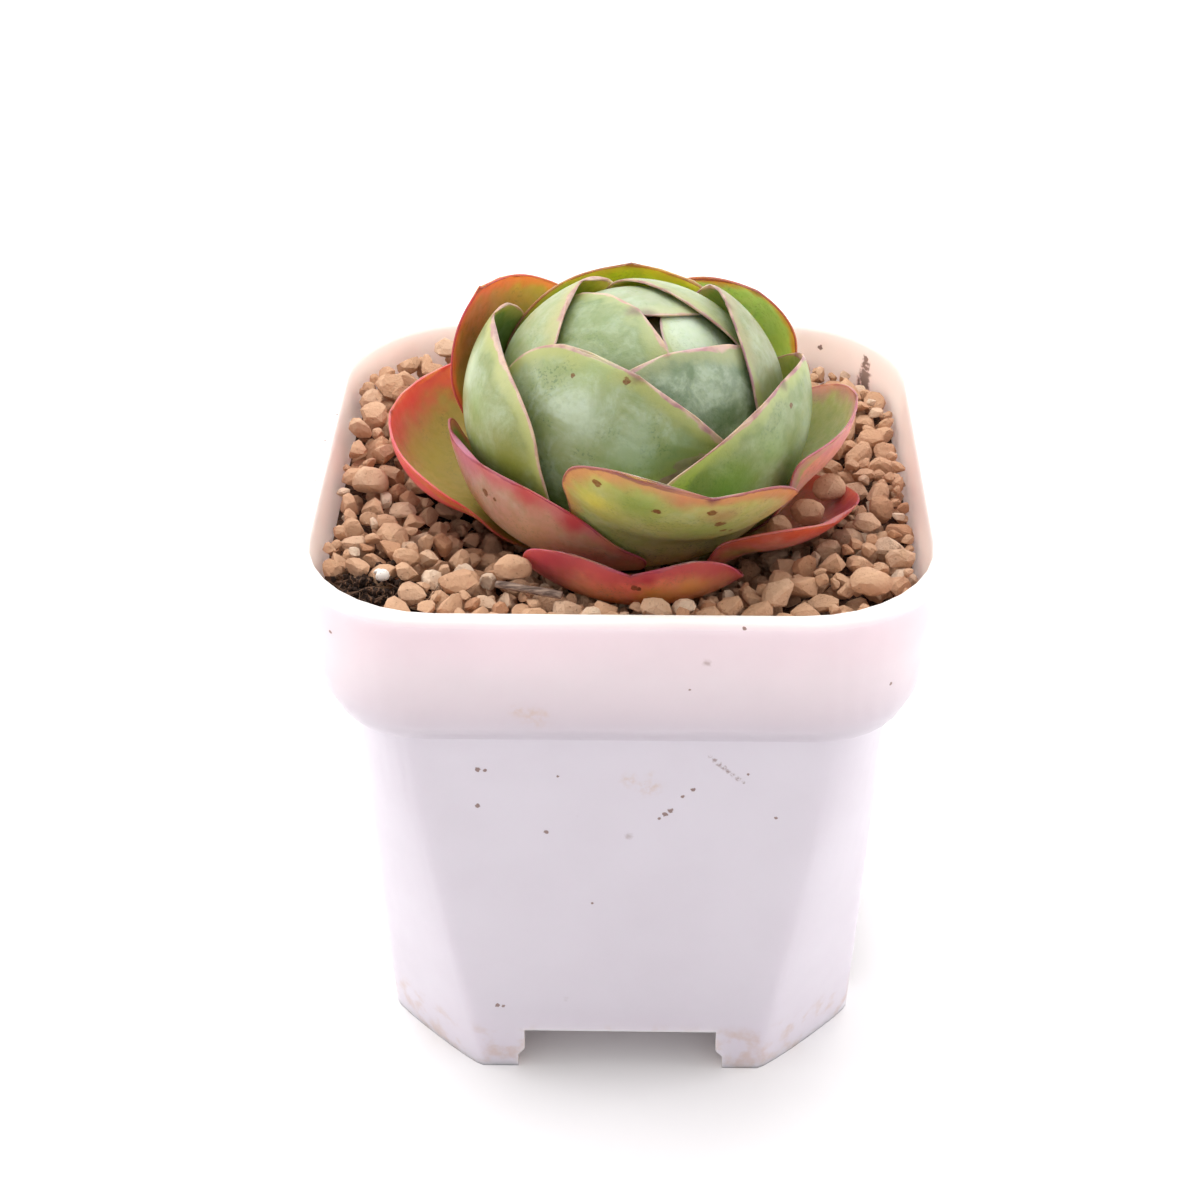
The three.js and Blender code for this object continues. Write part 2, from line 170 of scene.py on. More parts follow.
class Shader:
    """Adds nodes to a material's or a group's tree and joins them up."""

    def __init__(self, tree):
        self.tree = tree

    def add(self, kind, inputs=None, **choices):
        node = self.tree.nodes.new(kind)
        for key, value in choices.items():
            setattr(node, key, value)
        for key, value in (inputs or {}).items():
            self.feed(node.inputs[key], value)
        return node

    def feed(self, socket, value):
        if isinstance(value, bpy.types.NodeSocket):
            self.tree.links.new(value, socket)
            return
        if socket.type == "RGBA" and len(value) == 3:  # a colour without its alpha
            value = (*value, 1.0)
        socket.default_value = value

    def place(self):
        return self.add("ShaderNodeTexCoord").outputs["Object"]

    def attribute(self, name):
        return self.add("ShaderNodeAttribute", attribute_name=name).outputs["Fac"]

    def noise(self, size, detail=3.0, vector=None, distortion=0.0, roughness=0.5):
        """Noise whose lumps are about `size` metres across."""
        inputs = {"Scale": 1 / size, "Detail": detail, "Distortion": distortion, "Roughness": roughness}
        inputs["Vector"] = vector or self.place()
        return self.add("ShaderNodeTexNoise", inputs).outputs["Fac"]

    def cells(self, size, vector=None, feature="F1", output="Distance"):
        inputs = {"Scale": 1 / size, "Vector": vector or self.place()}
        return self.add("ShaderNodeTexVoronoi", inputs, feature=feature).outputs[output]

    def fade(self, value, low, high, start=0.0, end=1.0):
        """Runs smoothly from `start` to `end` as value goes from low to high."""
        inputs = {0: value, 1: low, 2: high, 3: start, 4: end}
        return self.add("ShaderNodeMapRange", inputs, interpolation_type="SMOOTHSTEP").outputs[0]

    def math(self, operation, a, b=0.0):
        return self.add("ShaderNodeMath", {0: a, 1: b}, operation=operation).outputs[0]

    def times(self, a, b):
        return self.math("MULTIPLY", a, b)

    def mix(self, share, a, b, blend="MIX"):
        node = self.add("ShaderNodeMix", data_type="RGBA", blend_type=blend)
        self.feed(node.inputs[0], share)
        self.feed(node.inputs[6], a)
        self.feed(node.inputs[7], b)
        return node.outputs[2]

    def group(self, tree, **inputs):
        node = self.add("ShaderNodeGroup", node_tree=tree)
        for key, value in inputs.items():
            self.feed(node.inputs[key], value)
        return node

    def bump(self, height, depth, strength=1.0):
        inputs = {"Height": height, "Distance": depth, "Strength": strength}
        return self.add("ShaderNodeBump", inputs).outputs["Normal"]


SOCKETS = {"f": "NodeSocketFloat", "c": "NodeSocketColor", "v": "NodeSocketVector"}


def new_group(name, inputs, outputs):
    """An empty node group; inputs and outputs are "name:kind" with kind f, c or v."""
    tree = bpy.data.node_groups.new(name, "ShaderNodeTree")
    for direction, wanted in (("INPUT", inputs), ("OUTPUT", outputs)):
        for item in wanted.split():
            label, kind = item.split(":")
            tree.interface.new_socket(name=label, in_out=direction, socket_type=SOCKETS[kind])
    shader = Shader(tree)
    return tree, shader, shader.add("NodeGroupInput").outputs, shader.add("NodeGroupOutput").inputs


def spot_group():
    """A ragged round spot: 1 inside, 0 outside."""
    if "spot" in bpy.data.node_groups:
        return bpy.data.node_groups["spot"]
    tree, s, given, made = new_group("spot", "Centre:v Radius:f Ragged:f Soft:f", "Mask:f")
    scale = s.math("DIVIDE", 1.2, given["Radius"])
    wander = s.add("ShaderNodeTexNoise", {"Scale": scale, "Vector": s.place(), "Detail": 3.0})
    away = s.add("ShaderNodeVectorMath", {0: s.place(), 1: given["Centre"]}, operation="DISTANCE")
    share = s.math("DIVIDE", away.outputs["Value"], given["Radius"])
    push = s.times(s.math("SUBTRACT", wander.outputs["Fac"], 0.5), given["Ragged"])
    pushed = s.math("ADD", share, push)
    s.feed(made["Mask"], s.fade(pushed, 1.0, s.math("SUBTRACT", 1.0, given["Soft"])))
    return tree


def speckle_group():
    """Scattered specks about `Size` apart, with only a `Share` of them showing."""
    if "speckle" in bpy.data.node_groups:
        return bpy.data.node_groups["speckle"]
    tree, s, given, made = new_group("speckle", "Size:f Share:f Radius:f", "Mask:f")
    scale = s.math("DIVIDE", 1.0, given["Size"])
    cell = s.add("ShaderNodeTexVoronoi", {"Scale": scale, "Vector": s.place()})
    pick = s.add("ShaderNodeSeparateColor", {"Color": cell.outputs["Color"]}).outputs["Red"]
    chosen = s.math("LESS_THAN", pick, given["Share"])
    reach = s.times(given["Radius"], s.noise(0.4 * MM, 1.0))
    inside = s.fade(s.math("SUBTRACT", cell.outputs["Distance"], reach), 0.06, -0.06)
    s.feed(made["Mask"], s.times(inside, chosen))
    return tree


def new_material(name, **plain):
    """A material and its shader tree; `plain` sets the Principled sockets that don't vary."""
    material = bpy.data.materials.new(name)
    material.use_nodes = True
    shader = Shader(material.node_tree)
    principled = material.node_tree.nodes["Principled BSDF"]
    for key, value in plain.items():
        shader.feed(principled.inputs[key.replace("_", " ")], value)
    return material, shader, principled.inputs


def add_spots(shader, spots, ragged=0.7, soft=0.3):
    """One mask for a list of (centre, radius) spots."""
    mask = 0.0
    for centre, radius in spots:
        spot = shader.group(spot_group(), Centre=centre, Radius=radius, Ragged=ragged, Soft=soft)
        mask = shader.math("MAXIMUM", spot.outputs["Mask"], mask)
    return mask


# ---- Mesh helpers ----


def merged(name):
    """A bmesh copy of a CAD node with its loose triangles joined into one skin."""
    bm = bmesh.new()
    bm.from_mesh(NODES[name].data)
    bmesh.ops.remove_doubles(bm, verts=bm.verts, dist=0.004 * MM)
    for layer in list(bm.loops.layers.uv):
        bm.loops.layers.uv.remove(layer)
    return bm


def round_edges(bm, steepness, radius, segments):
    """Rounds every edge whose faces meet at more than `steepness` degrees."""
    limit = math.radians(steepness)
    sharp = [e for e in bm.edges if e.is_manifold and e.calc_face_angle() > limit]
    bmesh.ops.bevel(
        bm, geom=sharp, offset=radius, affect="EDGES", segments=segments, profile=0.5,
        material=-1, clamp_overlap=True,
    )


def clamp(value):
    return min(1.0, max(0.0, value))


def middle_of(name):
    low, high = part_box(name)
    return (low + high) / 2


def finish_piece(bm, name, material, stands_for=(), levels=0, sharp=None):
    """Turns a bmesh into a smooth piece of the object."""
    mesh = bpy.data.meshes.new(name)
    bm.to_mesh(mesh)
    bm.free()
    for stale in ("custom_normal", "sharp_face"):
        if stale in mesh.attributes:
            mesh.attributes.remove(mesh.attributes[stale])
    mesh.materials.clear()
    mesh.materials.append(material)
    mesh.polygons.foreach_set("use_smooth", [True] * len(mesh.polygons))
    mesh.polygons.foreach_set("material_index", [0] * len(mesh.polygons))
    if sharp:
        mesh.set_sharp_from_angle(angle=math.radians(sharp))
    piece = bpy.data.objects.new(name, mesh)
    bpy.context.scene.collection.objects.link(piece)
    if levels:
        subdivision = piece.modifiers.new("subdivision", "SUBSURF")
        subdivision.levels = subdivision.render_levels = levels
    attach(piece, BODY)
    if stands_for:
        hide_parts(*stands_for)
    return piece


def dress_node(name, material):
    """Gives a CAD node a finish of its own."""
    mesh = NODES[name].data
    mesh.materials.clear()
    mesh.materials.append(material)


# ---- The stage ----


class SUCCULENT_OT_stage(bpy.types.Operator):
    """Make the floor, the lights and the camera"""

    bl_idname = "succulent.stage"
    bl_label = "Stage"

    def execute(self, context):
        given = settings("stage")
        material, shader, principled = new_material("floor_paper", Roughness=0.9)
        grey = shader.mix(shader.noise(40 * MM), tuple(0.985 * c for c in given.floor), given.floor)
        shader.feed(principled["Base Color"], grey)
        bm = bmesh.new()
        bmesh.ops.create_grid(bm, x_segments=2, y_segments=2, size=3.0)
        mesh = bpy.data.meshes.new("floor")
        bm.to_mesh(mesh)
        bm.free()
        mesh.materials.append(material)
        floor = bpy.data.objects.new("floor", mesh)
        context.scene.collection.objects.link(floor)
        self.light_up(context.scene, given)
        self.add_camera(context.scene, given)
        return {"FINISHED"}

    def light_up(self, scene, given):
        world = bpy.data.worlds.new("soft_room")
        world.use_nodes = True
        background = world.node_tree.nodes["Background"]
        background.inputs["Color"].default_value = (1.0, 0.985, 0.99, 1.0)
        background.inputs["Strength"].default_value = given.sky
        scene.world = world
        scene.view_settings.view_transform = "Standard"
        self.add_light(scene, "key", (-0.08, 0.26, 0.62), (0, 0, 0.05), 0.8, given.key)
        self.add_light(scene, "left", (-0.6, 0.05, 0.22), (0, 0, 0.04), 0.4, given.side)
        self.add_light(scene, "right", (0.6, 0.05, 0.22), (0, 0, 0.04), 0.4, given.side)

    def add_light(self, scene, name, place, aim, size, power):
        light = bpy.data.lights.new(name, "AREA")
        light.shape = "DISK"
        light.size = size
        light.energy = power
        lamp = bpy.data.objects.new(name, light)
        lamp.location = place
        lamp.rotation_mode = "QUATERNION"
        lamp.rotation_quaternion = (Vector(aim) - Vector(place)).to_track_quat("-Z", "Y")
        scene.collection.objects.link(lamp)

    def add_camera(self, scene, given):
        data = bpy.data.cameras.new("camera")
        data.lens = given.lens
        data.clip_start = 0.01
        data.dof.use_dof = False
        yaw, elevation = given.yaw, given.elevation
        level = math.cos(elevation)
        back = Vector((math.sin(yaw) * level, -math.cos(yaw) * level, math.sin(elevation)))
        right = Vector((math.cos(yaw), math.sin(yaw), 0))
        up = back.cross(right)
        turned = self.aimed(right, up, -back, given.pan, given.tilt)
        camera = bpy.data.objects.new("camera", data)
        place = Vector((0, 0, given.aim_height)) + back * given.distance
        camera.matrix_world = Matrix.Translation(place) @ turned.to_4x4()
        scene.collection.objects.link(camera)
        scene.camera = camera

    def aimed(self, right, up, forward, pan, tilt):
        """The camera's axes after a turn aside and a tip upwards, as the columns of a matrix."""
        ahead = right * math.sin(pan) + forward * math.cos(pan)
        right = right * math.cos(pan) - forward * math.sin(pan)
        aim = up * math.sin(tilt) + ahead * math.cos(tilt)
        up = up * math.cos(tilt) - ahead * math.sin(tilt)
        return Matrix((right, up, -aim)).transposed()


# ---- The pot ----

# Marks on the pot's front: x and z in millimetres, radius in millimetres.
POT_MARKS = [
    (8.0, 42.4, 0.3), (6.9, 41.4, 0.26), (5.6, 39.4, 0.36), (5.0, 38.9, 0.34), (4.4, 38.3, 0.22),
    (-8.1, 36.2, 0.3), (-15.4, 44.9, 0.34), (-14.6, 44.8, 0.26), (-15.6, 39.8, 0.34),
    (-14.3, 9.8, 0.32), (-13.6, 9.7, 0.26), (12.8, 67.4, 0.24), (28.5, 57.8, 0.26),
    (-30.1, 63.5, 0.3), (17.2, 38.5, 0.22), (-3.1, 25.8, 0.18), (7.4, 59.0, 0.16),
    (-6.7, 44.1, 0.18), (14.0, 44.6, 0.2),
]
POT_SMEARS = [
    (9.8, 47.0, 0.3), (10.3, 46.5, 0.4), (10.8, 46.0, 0.45), (11.3, 45.5, 0.45), (11.8, 45.0, 0.45),
    (12.3, 44.5, 0.4), (12.9, 44.0, 0.4), (13.5, 43.5, 0.3),
]
POT_STAINS = [(3.3, 42.6, 2.2), (1.2, 43.6, 1.5), (-8.8, 54.4, 2.4), (-10.4, 55.8, 1.6)]
# Soil on the inside of the far wall, and bits on the lip: x, y, height and radius.
LINING_SMEARS = [
    (29.5, 28.1, 66.0, 0.6), (29.6, 28.0, 65.0, 0.9), (29.6, 27.9, 63.8, 1.2), (29.4, 28.0, 62.6, 1.3),
]
LIP_BITS = [
    (-34.3, 2.9, 68, 0.22), (-34.2, -6.5, 68, 0.16), (-33.6, 9.1, 68, 0.14), (24.2, 32.2, 65.6, 0.45),
]


class SUCCULENT_OT_pot(bpy.types.Operator):
    """Make the moulded pot with rounded edges and splashes of soil"""

    bl_idname = "succulent.pot"
    bl_label = "Pot"

    def execute(self, context):
        bm = merged("pot")
        bmesh.ops.dissolve_limit(bm, angle_limit=math.radians(0.5), verts=bm.verts, edges=bm.edges)
        round_edges(bm, 35, settings("pot").edge_radius, 3)
        bmesh.ops.triangulate(bm, faces=[f for f in bm.faces if len(f.verts) > 4])
        # Painted light: marks the inside of the wall and the top of the lip, which take the pale lining
        # colour for light shining through and falling on them.
        inside = bm.verts.layers.float.new("inside")
        bm.normal_update()
        for vert in bm.verts:
            inwards = -vert.normal.dot(Vector((vert.co.x, vert.co.y, 0)).normalized())
            on_lip = vert.normal.z > 0.5 and vert.co.z > POT_HIGH.z - 0.5 * MM
            vert[inside] = 1.0 if on_lip else clamp(2 * inwards)
        finish_piece(bm, "pot_shell", self.plastic(), ["pot"])
        return {"FINISHED"}

    def front_point(self, x, z):
        """A point on the pot's front, found by looking straight at it."""
        tree = BVHTree.FromObject(NODES["pot"], bpy.context.evaluated_depsgraph_get())
        hit = tree.ray_cast(Vector((x * MM, -0.1, z * MM)), Vector((0, 1, 0)))[0]
        return hit or Vector((x * MM, POT_LOW.y, z * MM))

    def plastic(self):
        given = settings("pot")
        material, s, principled = new_material(
            "pot_plastic", Subsurface_Weight=1.0, Subsurface_Radius=(1.0, 0.92, 0.94),
            Subsurface_Scale=3 * MM, IOR=1.49,
        )
        height = s.add("ShaderNodeSeparateXYZ", {"Vector": s.place()}).outputs["Z"]
        # Painted light: the collar is painted paler and pinker than the body, for light from the gravel
        # shining through the plastic.
        collar = s.fade(height, 49 * MM, 56 * MM)
        base = s.mix(collar, given.plastic, given.collar)
        # Painted shade: the collar is darkened towards its bottom edge, where it swells out over the body.
        shade = s.times(s.fade(height, 61 * MM, 51 * MM), s.fade(height, 49.6 * MM, 50 * MM))
        base = s.mix(s.times(shade, 0.5), base, colour("#a8a0ac"))
        # Painted light: the inside of the wall and the top of the lip take the near-white lining colour, for
        # light shining through the plastic and falling on the lip.
        base = s.mix(s.attribute("inside"), base, given.lit_lining)
        cloud = s.fade(s.noise(9 * MM, 4.0), 0.35, 0.75)
        base = s.mix(s.times(cloud, 0.10), base, colour("#b9aeb6"))
        # Pale stains, a tide line round the foot, then the soil itself.
        stain = s.times(self.marks(s, POT_STAINS, 1.4, 1.0), s.fade(s.noise(0.8 * MM, 5.0), 0.35, 0.75))
        base = s.mix(s.times(stain, 0.5), base, colour("#c3a184"))
        tide = s.times(s.fade(height, 7.5 * MM, 5.0 * MM), s.fade(s.noise(2.2 * MM, 4.0), 0.45, 0.75))
        base = s.mix(s.times(tide, 0.5), base, colour("#c0a088"))
        smear = s.times(self.marks(s, POT_SMEARS, 1.3, 0.7), s.fade(s.noise(0.28 * MM, 3.0), 0.35, 0.65))
        dirt = s.math("MAXIMUM", self.marks(s, POT_MARKS, 1.4), s.times(smear, 0.8))
        specks = s.group(speckle_group(), Size=7 * MM, Share=0.5, Radius=0.07).outputs["Mask"]
        dirt = s.math("MAXIMUM", dirt, s.times(specks, 0.8))
        splashes, bits = (
            [(Vector((x, y, z)) * MM, r * MM) for x, y, z, r in spots]
            for spots in (LINING_SMEARS, LIP_BITS)
        )
        splash = s.times(add_spots(s, splashes, 1.8, 0.5), s.fade(s.noise(0.9 * MM, 4.0), 0.3, 0.45))
        dirt = s.math("MAXIMUM", dirt, s.math("MAXIMUM", splash, add_spots(s, bits, 1.4)))
        s.feed(principled["Base Color"], s.mix(s.times(dirt, 0.8), base, given.dirt))
        rough = s.fade(s.noise(3 * MM, 5.0), 0.3, 0.8, 0.3, 0.44)
        s.feed(principled["Roughness"], s.math("MAXIMUM", rough, s.times(dirt, 0.85)))
        grain = s.math("ADD", s.times(s.noise(0.25 * MM, 2.0), 0.15), s.noise(7 * MM, 2.0))
        relief = s.math("ADD", grain, s.times(dirt, 1.6))
        s.feed(principled["Normal"], s.bump(relief, 0.05 * MM, 0.8))
        return material

    def marks(self, shader, places, ragged, soft=0.3):
        return add_spots(shader, [(self.front_point(x, z), r * MM) for x, z, r in places], ragged, soft)


# ---- Soil ----


def soil_material(name, lift=1.0):
    given = settings("soil")
    material, s, principled = new_material(name, Roughness=0.95, Specular_IOR_Level=0.25)
    crumb = s.cells(0.9 * MM)
    fine = s.noise(0.5 * MM, 5.0)
    dark = tuple(lift * c for c in given.peat)
    base = s.mix(s.fade(fine, 0.35, 0.7), tuple(0.5 * c for c in dark), tuple(1.6 * c for c in dark))
    inputs = {"Scale": 350.0, "Distortion": 14.0, "Detail": 3.0, "Vector": s.place()}
    thread = s.add("ShaderNodeTexWave", inputs)
    base = s.mix(s.fade(thread.outputs["Fac"], 0.9, 1.0, 0.0, 0.7), base, given.fibre)
    s.feed(principled["Base Color"], base)
    s.feed(principled["Normal"], s.bump(s.math("ADD", fine, crumb), 0.5 * MM, 0.9))
    return material


class SUCCULENT_OT_soil(bpy.types.Operator):
    """Make the potting soil, the loose clod in one corner and its crumbs and fibres"""

    bl_idname = "succulent.soil"
    bl_label = "Potting soil"

    def execute(self, context):
        dress_node("potting_soil", soil_material("potting_soil"))
        peat = soil_material("loose_peat", 1.15)
        bm = merged("peat_clump")
        bmesh.ops.subdivide_edges(bm, edges=bm.edges, cuts=3, use_grid_fill=True, smooth=0.6)
        bm.normal_update()
        for vert in bm.verts:
            rough = noise.fractal(vert.co / (1.6 * MM), 0.9, 2.0, 5)
            vert.co += vert.normal * (rough - 0.25) * 0.75 * MM
        finish_piece(bm, "peat_clod", peat, ["peat_clump"])
        finish_piece(self.crumbs(), "peat_crumbs", peat)
        finish_piece(self.fibres(), "peat_fibres", self.fibre_material())
        return {"FINISHED"}

    def crumbs(self):
        given = settings("soil")
        low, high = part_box("peat_clump")
        rng = random.Random(given.seed)
        bm = bmesh.new()
        for _ in range(given.crumbs):
            x = rng.gauss((low.x + high.x) / 2 + 1.5 * MM, 2.8 * MM)
            place = Vector((x, rng.gauss((low.y + high.y) / 2, 2.4 * MM), 0))
            if wall_room(place.x, place.y) < 0.6 * MM:
                continue
            place.z = high.z + rng.uniform(-0.9, 0.7) * MM
            size = rng.uniform(0.18, 0.55) * MM
            add_lump(bm, rng, place, size, facets=2, subdivisions=1)
        return bm

    def fibres(self):
        rng = random.Random(settings("soil").seed + 1)
        high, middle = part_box("peat_clump")[1], middle_of("peat_clump")
        bm = bmesh.new()
        for _ in range(FIBRES):
            start = Vector((rng.gauss(middle.x + 1 * MM, 2.6 * MM), rng.gauss(middle.y, 2.2 * MM), high.z))
            start.z += rng.uniform(-0.2, 0.8) * MM
            if wall_room(start.x, start.y) < 1.6 * MM:
                continue
            turn = Euler((rng.uniform(-0.35, 0.35), rng.uniform(1.2, 1.9), rng.uniform(0, 6.3))).to_matrix()
            made = bmesh.ops.create_cone(
                bm, cap_ends=True, segments=5, radius1=0.09 * MM, radius2=0.03 * MM,
                depth=rng.uniform(1.6, 3.8) * MM, matrix=Matrix.Translation(start) @ turn.to_4x4(),
            )
            for vert in made["verts"]:
                if wall_room(vert.co.x, vert.co.y) < 0.3 * MM:
                    vert.co.xy = vert.co.xy.lerp(start.xy, 0.7)
        return bm

    def fibre_material(self):
        material, s, principled = new_material("peat_fibre", Roughness=0.85)
        base = s.mix(s.noise(1.2 * MM), settings("soil").fibre, colour("#3c281c"))
        s.feed(principled["Base Color"], base)
        s.feed(principled["Normal"], s.bump(s.noise(0.15 * MM), 0.05 * MM))
        return material


# ---- Gravel ----

WALL_BEND = 14.1 * MM  # radius of the pot's inside corners near the rim
WALL_HALF = BED_HIGH.x  # the bed fills the pot's inside at its own height


# The grit is a dark sheet of painted shade that lies under the grains.
SHADE_GRIT_SINK = 3.0 * MM  # how far the grit lies below the bed's top
GRAIN_SINK = 3.4 * MM  # how far the lowest grains lie below it
CHOICES = 4  # places tried for each grain
PACKING = 0.78  # how near two grains come, as a share of their sizes
LEAF_ROOM = 0.93  # the same from a grain to a leaf
PEAT_HALVES = (6.2 * MM, 4.6 * MM)  # half widths of the gap left for the soil's clod
PEAT_LEVEL = 60.5 * MM  # no grain lies in that gap above this height
HEAP_HEIGHT = 3.0 * MM  # how much higher the grains lie in the far left corner
HEAP_START, HEAP_RAMP = 0.42, 0.4  # where that starts and how soon it is reached


def wall_room(x, y):
    """How far a place is from the inside of the pot's wall."""
    dx, dy = abs(x) - (WALL_HALF - WALL_BEND), abs(y) - (WALL_HALF - WALL_BEND)
    outside = math.hypot(max(dx, 0), max(dy, 0)) + min(max(dx, dy), 0)
    return WALL_BEND - outside


def any_way(rng):
    return Vector([rng.gauss(0, 1) for _ in range(3)]).normalized()


def clipped(point, planes, share):
    """The point, drawn back towards each plane that it lies beyond."""
    for normal, reach in planes:
        over = point.dot(normal) - reach
        if over > 0:
            point -= normal * over * share
    return point


def add_lump(bm, rng, place, size, facets=9, subdivisions=2, flat=0.72):
    """Adds one broken, slightly rounded grain and returns its corners."""
    made = bmesh.ops.create_icosphere(bm, subdivisions=subdivisions, radius=1.0)["verts"]
    planes = [(any_way(rng), rng.uniform(0.42, 0.84)) for _ in range(facets)]
    stretch = Vector((1.0, rng.uniform(0.7, 0.95), rng.uniform(flat - 0.12, flat + 0.14)))
    turn = Euler([rng.uniform(0, 6.3) for _ in range(3)]).to_matrix()
    lean = Euler((rng.uniform(-0.6, 0.6), rng.uniform(-0.6, 0.6), rng.uniform(0, 6.3))).to_matrix()
    for vert in made:
        point = turn @ vert.co
        point *= 1 + 0.2 * noise.noise(point * 1.3 + Vector(place) * 900)
        point = lean @ (clipped(point, planes, 0.96) * stretch)
        vert.co = Vector(place) + point * size * 1.12
    return made


def grain_material(name):
    """Fired-clay gravel: each grain its own tint, with pits and a pale dust."""
    given = settings("gravel")
    material, s, principled = new_material(name, Specular_IOR_Level=0.3)
    tint = s.attribute("tint")
    base = s.mix(s.fade(tint, 0.0, 0.45), given.rust, given.tan)
    base = s.mix(s.fade(tint, 0.62, 1.0), base, given.pale)
    blotch = s.noise(1.5 * MM, 4.0)
    base = s.mix(s.fade(blotch, 0.45, 0.8, 0.0, 0.5), base, colour("#d8ac86"))
    base = s.mix(s.fade(s.noise(2.1 * MM, 3.0), 0.6, 0.85, 0.0, 0.45), base, colour("#b0745f"))
    pits = s.fade(s.noise(0.28 * MM, 3.0), 0.62, 0.78)
    base = s.mix(s.times(pits, 0.5), base, colour("#7b4c33"))
    s.feed(principled["Base Color"], base)
    s.feed(principled["Roughness"], s.fade(blotch, 0.3, 0.7, 0.78, 0.95))
    rough = s.math("SUBTRACT", s.noise(0.55 * MM, 6.0, roughness=0.7), s.times(pits, 0.3))
    s.feed(principled["Normal"], s.bump(rough, 0.4 * MM, 1.0))
    return material


STONES = ["stone_front", "stone_corner", "stone_side"] + [f"stone_on_leaf_{n}" for n in (1, 2, 3)]


class SUCCULENT_OT_gravel(bpy.types.Operator):
    """Pour the gravel in round the plant, and lay the loose stones"""

    bl_idname = "succulent.gravel"
    bl_label = "Gravel"

    def execute(self, context):
        given = settings("gravel")
        self.rng = random.Random(given.seed)
        grain = grain_material("gravel_grain")
        self.lay_shade_base()
        placed = self.pour(given)
        bm = bmesh.new()
        tint = bm.verts.layers.float.new("tint")
        for place, size in placed:
            shade = clamp(self.rng.gauss(0.5, 0.24))
            for vert in add_lump(bm, self.rng, place, size):
                vert[tint] = shade
        finish_piece(bm, "gravel_grains", grain, ["gravel_bed"], sharp=12)
        for name in STONES:
            self.lay_stone(name, grain)
        return {"FINISHED"}

    def lay_shade_base(self):
        """Painted shade: a dark sheet of grit just under the grains, standing for the shade deep between
        them, so that no gap between them is empty.
        """
        bm = merged("gravel_bed")
        floor = BED_LOW.z + 0.4 * MM
        for vert in bm.verts:
            vert.co.z = max(vert.co.z - SHADE_GRIT_SINK, min(vert.co.z, floor))
        finish_piece(bm, "gravel_shade_grit", soil_material("grit_shade_base", 3.4))

    def pour(self, given):
        """Drops grains one by one, each to the lowest of a few places, smaller ones towards the end."""
        rng = self.rng
        graph = bpy.context.evaluated_depsgraph_get()
        surface = BVHTree.FromObject(NODES["gravel_bed"], graph)
        leaves = [BVHTree.FromObject(NODES[n], graph) for n in PAINTS]
        placed = []
        room = given.tries + len(STONES)
        centres, sizes = np.zeros((room, 3)), np.zeros(room)
        for count, name in enumerate(STONES):
            centres[count] = middle_of(name)
            sizes[count] = 0.9 * half_size(name)
        count = len(STONES)
        peat = middle_of("peat_clump") - Vector((1, 0.6, 0)) * MM
        down = Vector((0, 0, -1))
        for drop in range(given.tries):
            small = 0.55 if drop > given.tries / 2 else 1.0
            size = small * rng.triangular(given.smallest, given.largest, 1.7 * MM)
            best = None
            for _ in range(CHOICES):
                x, y = (rng.uniform(-WALL_HALF, WALL_HALF) for _ in range(2))
                if wall_room(x, y) < 0.8 * size:
                    continue
                hit = surface.ray_cast(Vector((x, y, 0.1)), down)[0]
                if hit is None:
                    continue
                flat = np.hypot(centres[:count, 0] - x, centres[:count, 1] - y)
                reach = PACKING * (sizes[:count] + size)
                near = flat < reach
                z = hit.z - GRAIN_SINK + 0.3 * size
                if near.any():
                    above = np.sqrt(reach[near] ** 2 - flat[near] ** 2)
                    z = max(z, (centres[:count][near, 2] + above).max())
                if best is None or z - hit.z < best[0]:
                    best = (z - hit.z, Vector((x, y, z)))
            if best is None or best[0] > 0.7 * MM + self.heap(best[1]):
                continue
            spot = best[1]
            aside = math.hypot((spot.x - peat.x) / PEAT_HALVES[0], (spot.y - peat.y) / PEAT_HALVES[1])
            if aside < 1 and spot.z > PEAT_LEVEL:
                continue
            if any(tree.find_nearest(spot, LEAF_ROOM * size)[0] for tree in leaves):
                continue
            if self.under_twig(spot, size):
                continue
            placed.append((spot, size))
            centres[count] = spot
            sizes[count] = size
            count += 1
        return placed

    def heap(self, spot):
        """How much higher than the bed the grains may lie, most in the far left corner."""
        towards = (spot.y - spot.x) / (2 * WALL_HALF)
        return HEAP_HEIGHT * clamp((towards - HEAP_START) / HEAP_RAMP)

    def under_twig(self, spot, size):
        low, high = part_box("twig")
        inside = low.x - size < spot.x < high.x + size and low.y - size < spot.y < high.y + size
        return inside and spot.z + 0.8 * size > low.z

    def lay_stone(self, name, material):
        bm = merged(name)
        tint = bm.verts.layers.float.new("tint")
        low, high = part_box(name)
        middle = (low + high) / 2
        ways = [any_way(self.rng) for _ in range(7)]
        planes = [(way, self.rng.uniform(0.72, 0.9)) for way in ways]
        shade = self.rng.uniform(0.35, 0.8)
        half = (high - low) / 2
        bmesh.ops.subdivide_edges(bm, edges=bm.edges, cuts=1, use_grid_fill=True, smooth=1.0)
        for vert in bm.verts:
            local = Vector([(a - b) / c for a, b, c in zip(vert.co, middle, half)])
            vert.co = middle + clipped(local, planes, 0.9) * half
            vert[tint] = shade
        finish_piece(bm, name + "_grain", material, [name], sharp=27)


def half_size(name):
    low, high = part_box(name)
    return sum(high - low) / 6


# ---- Twig and perlite ----


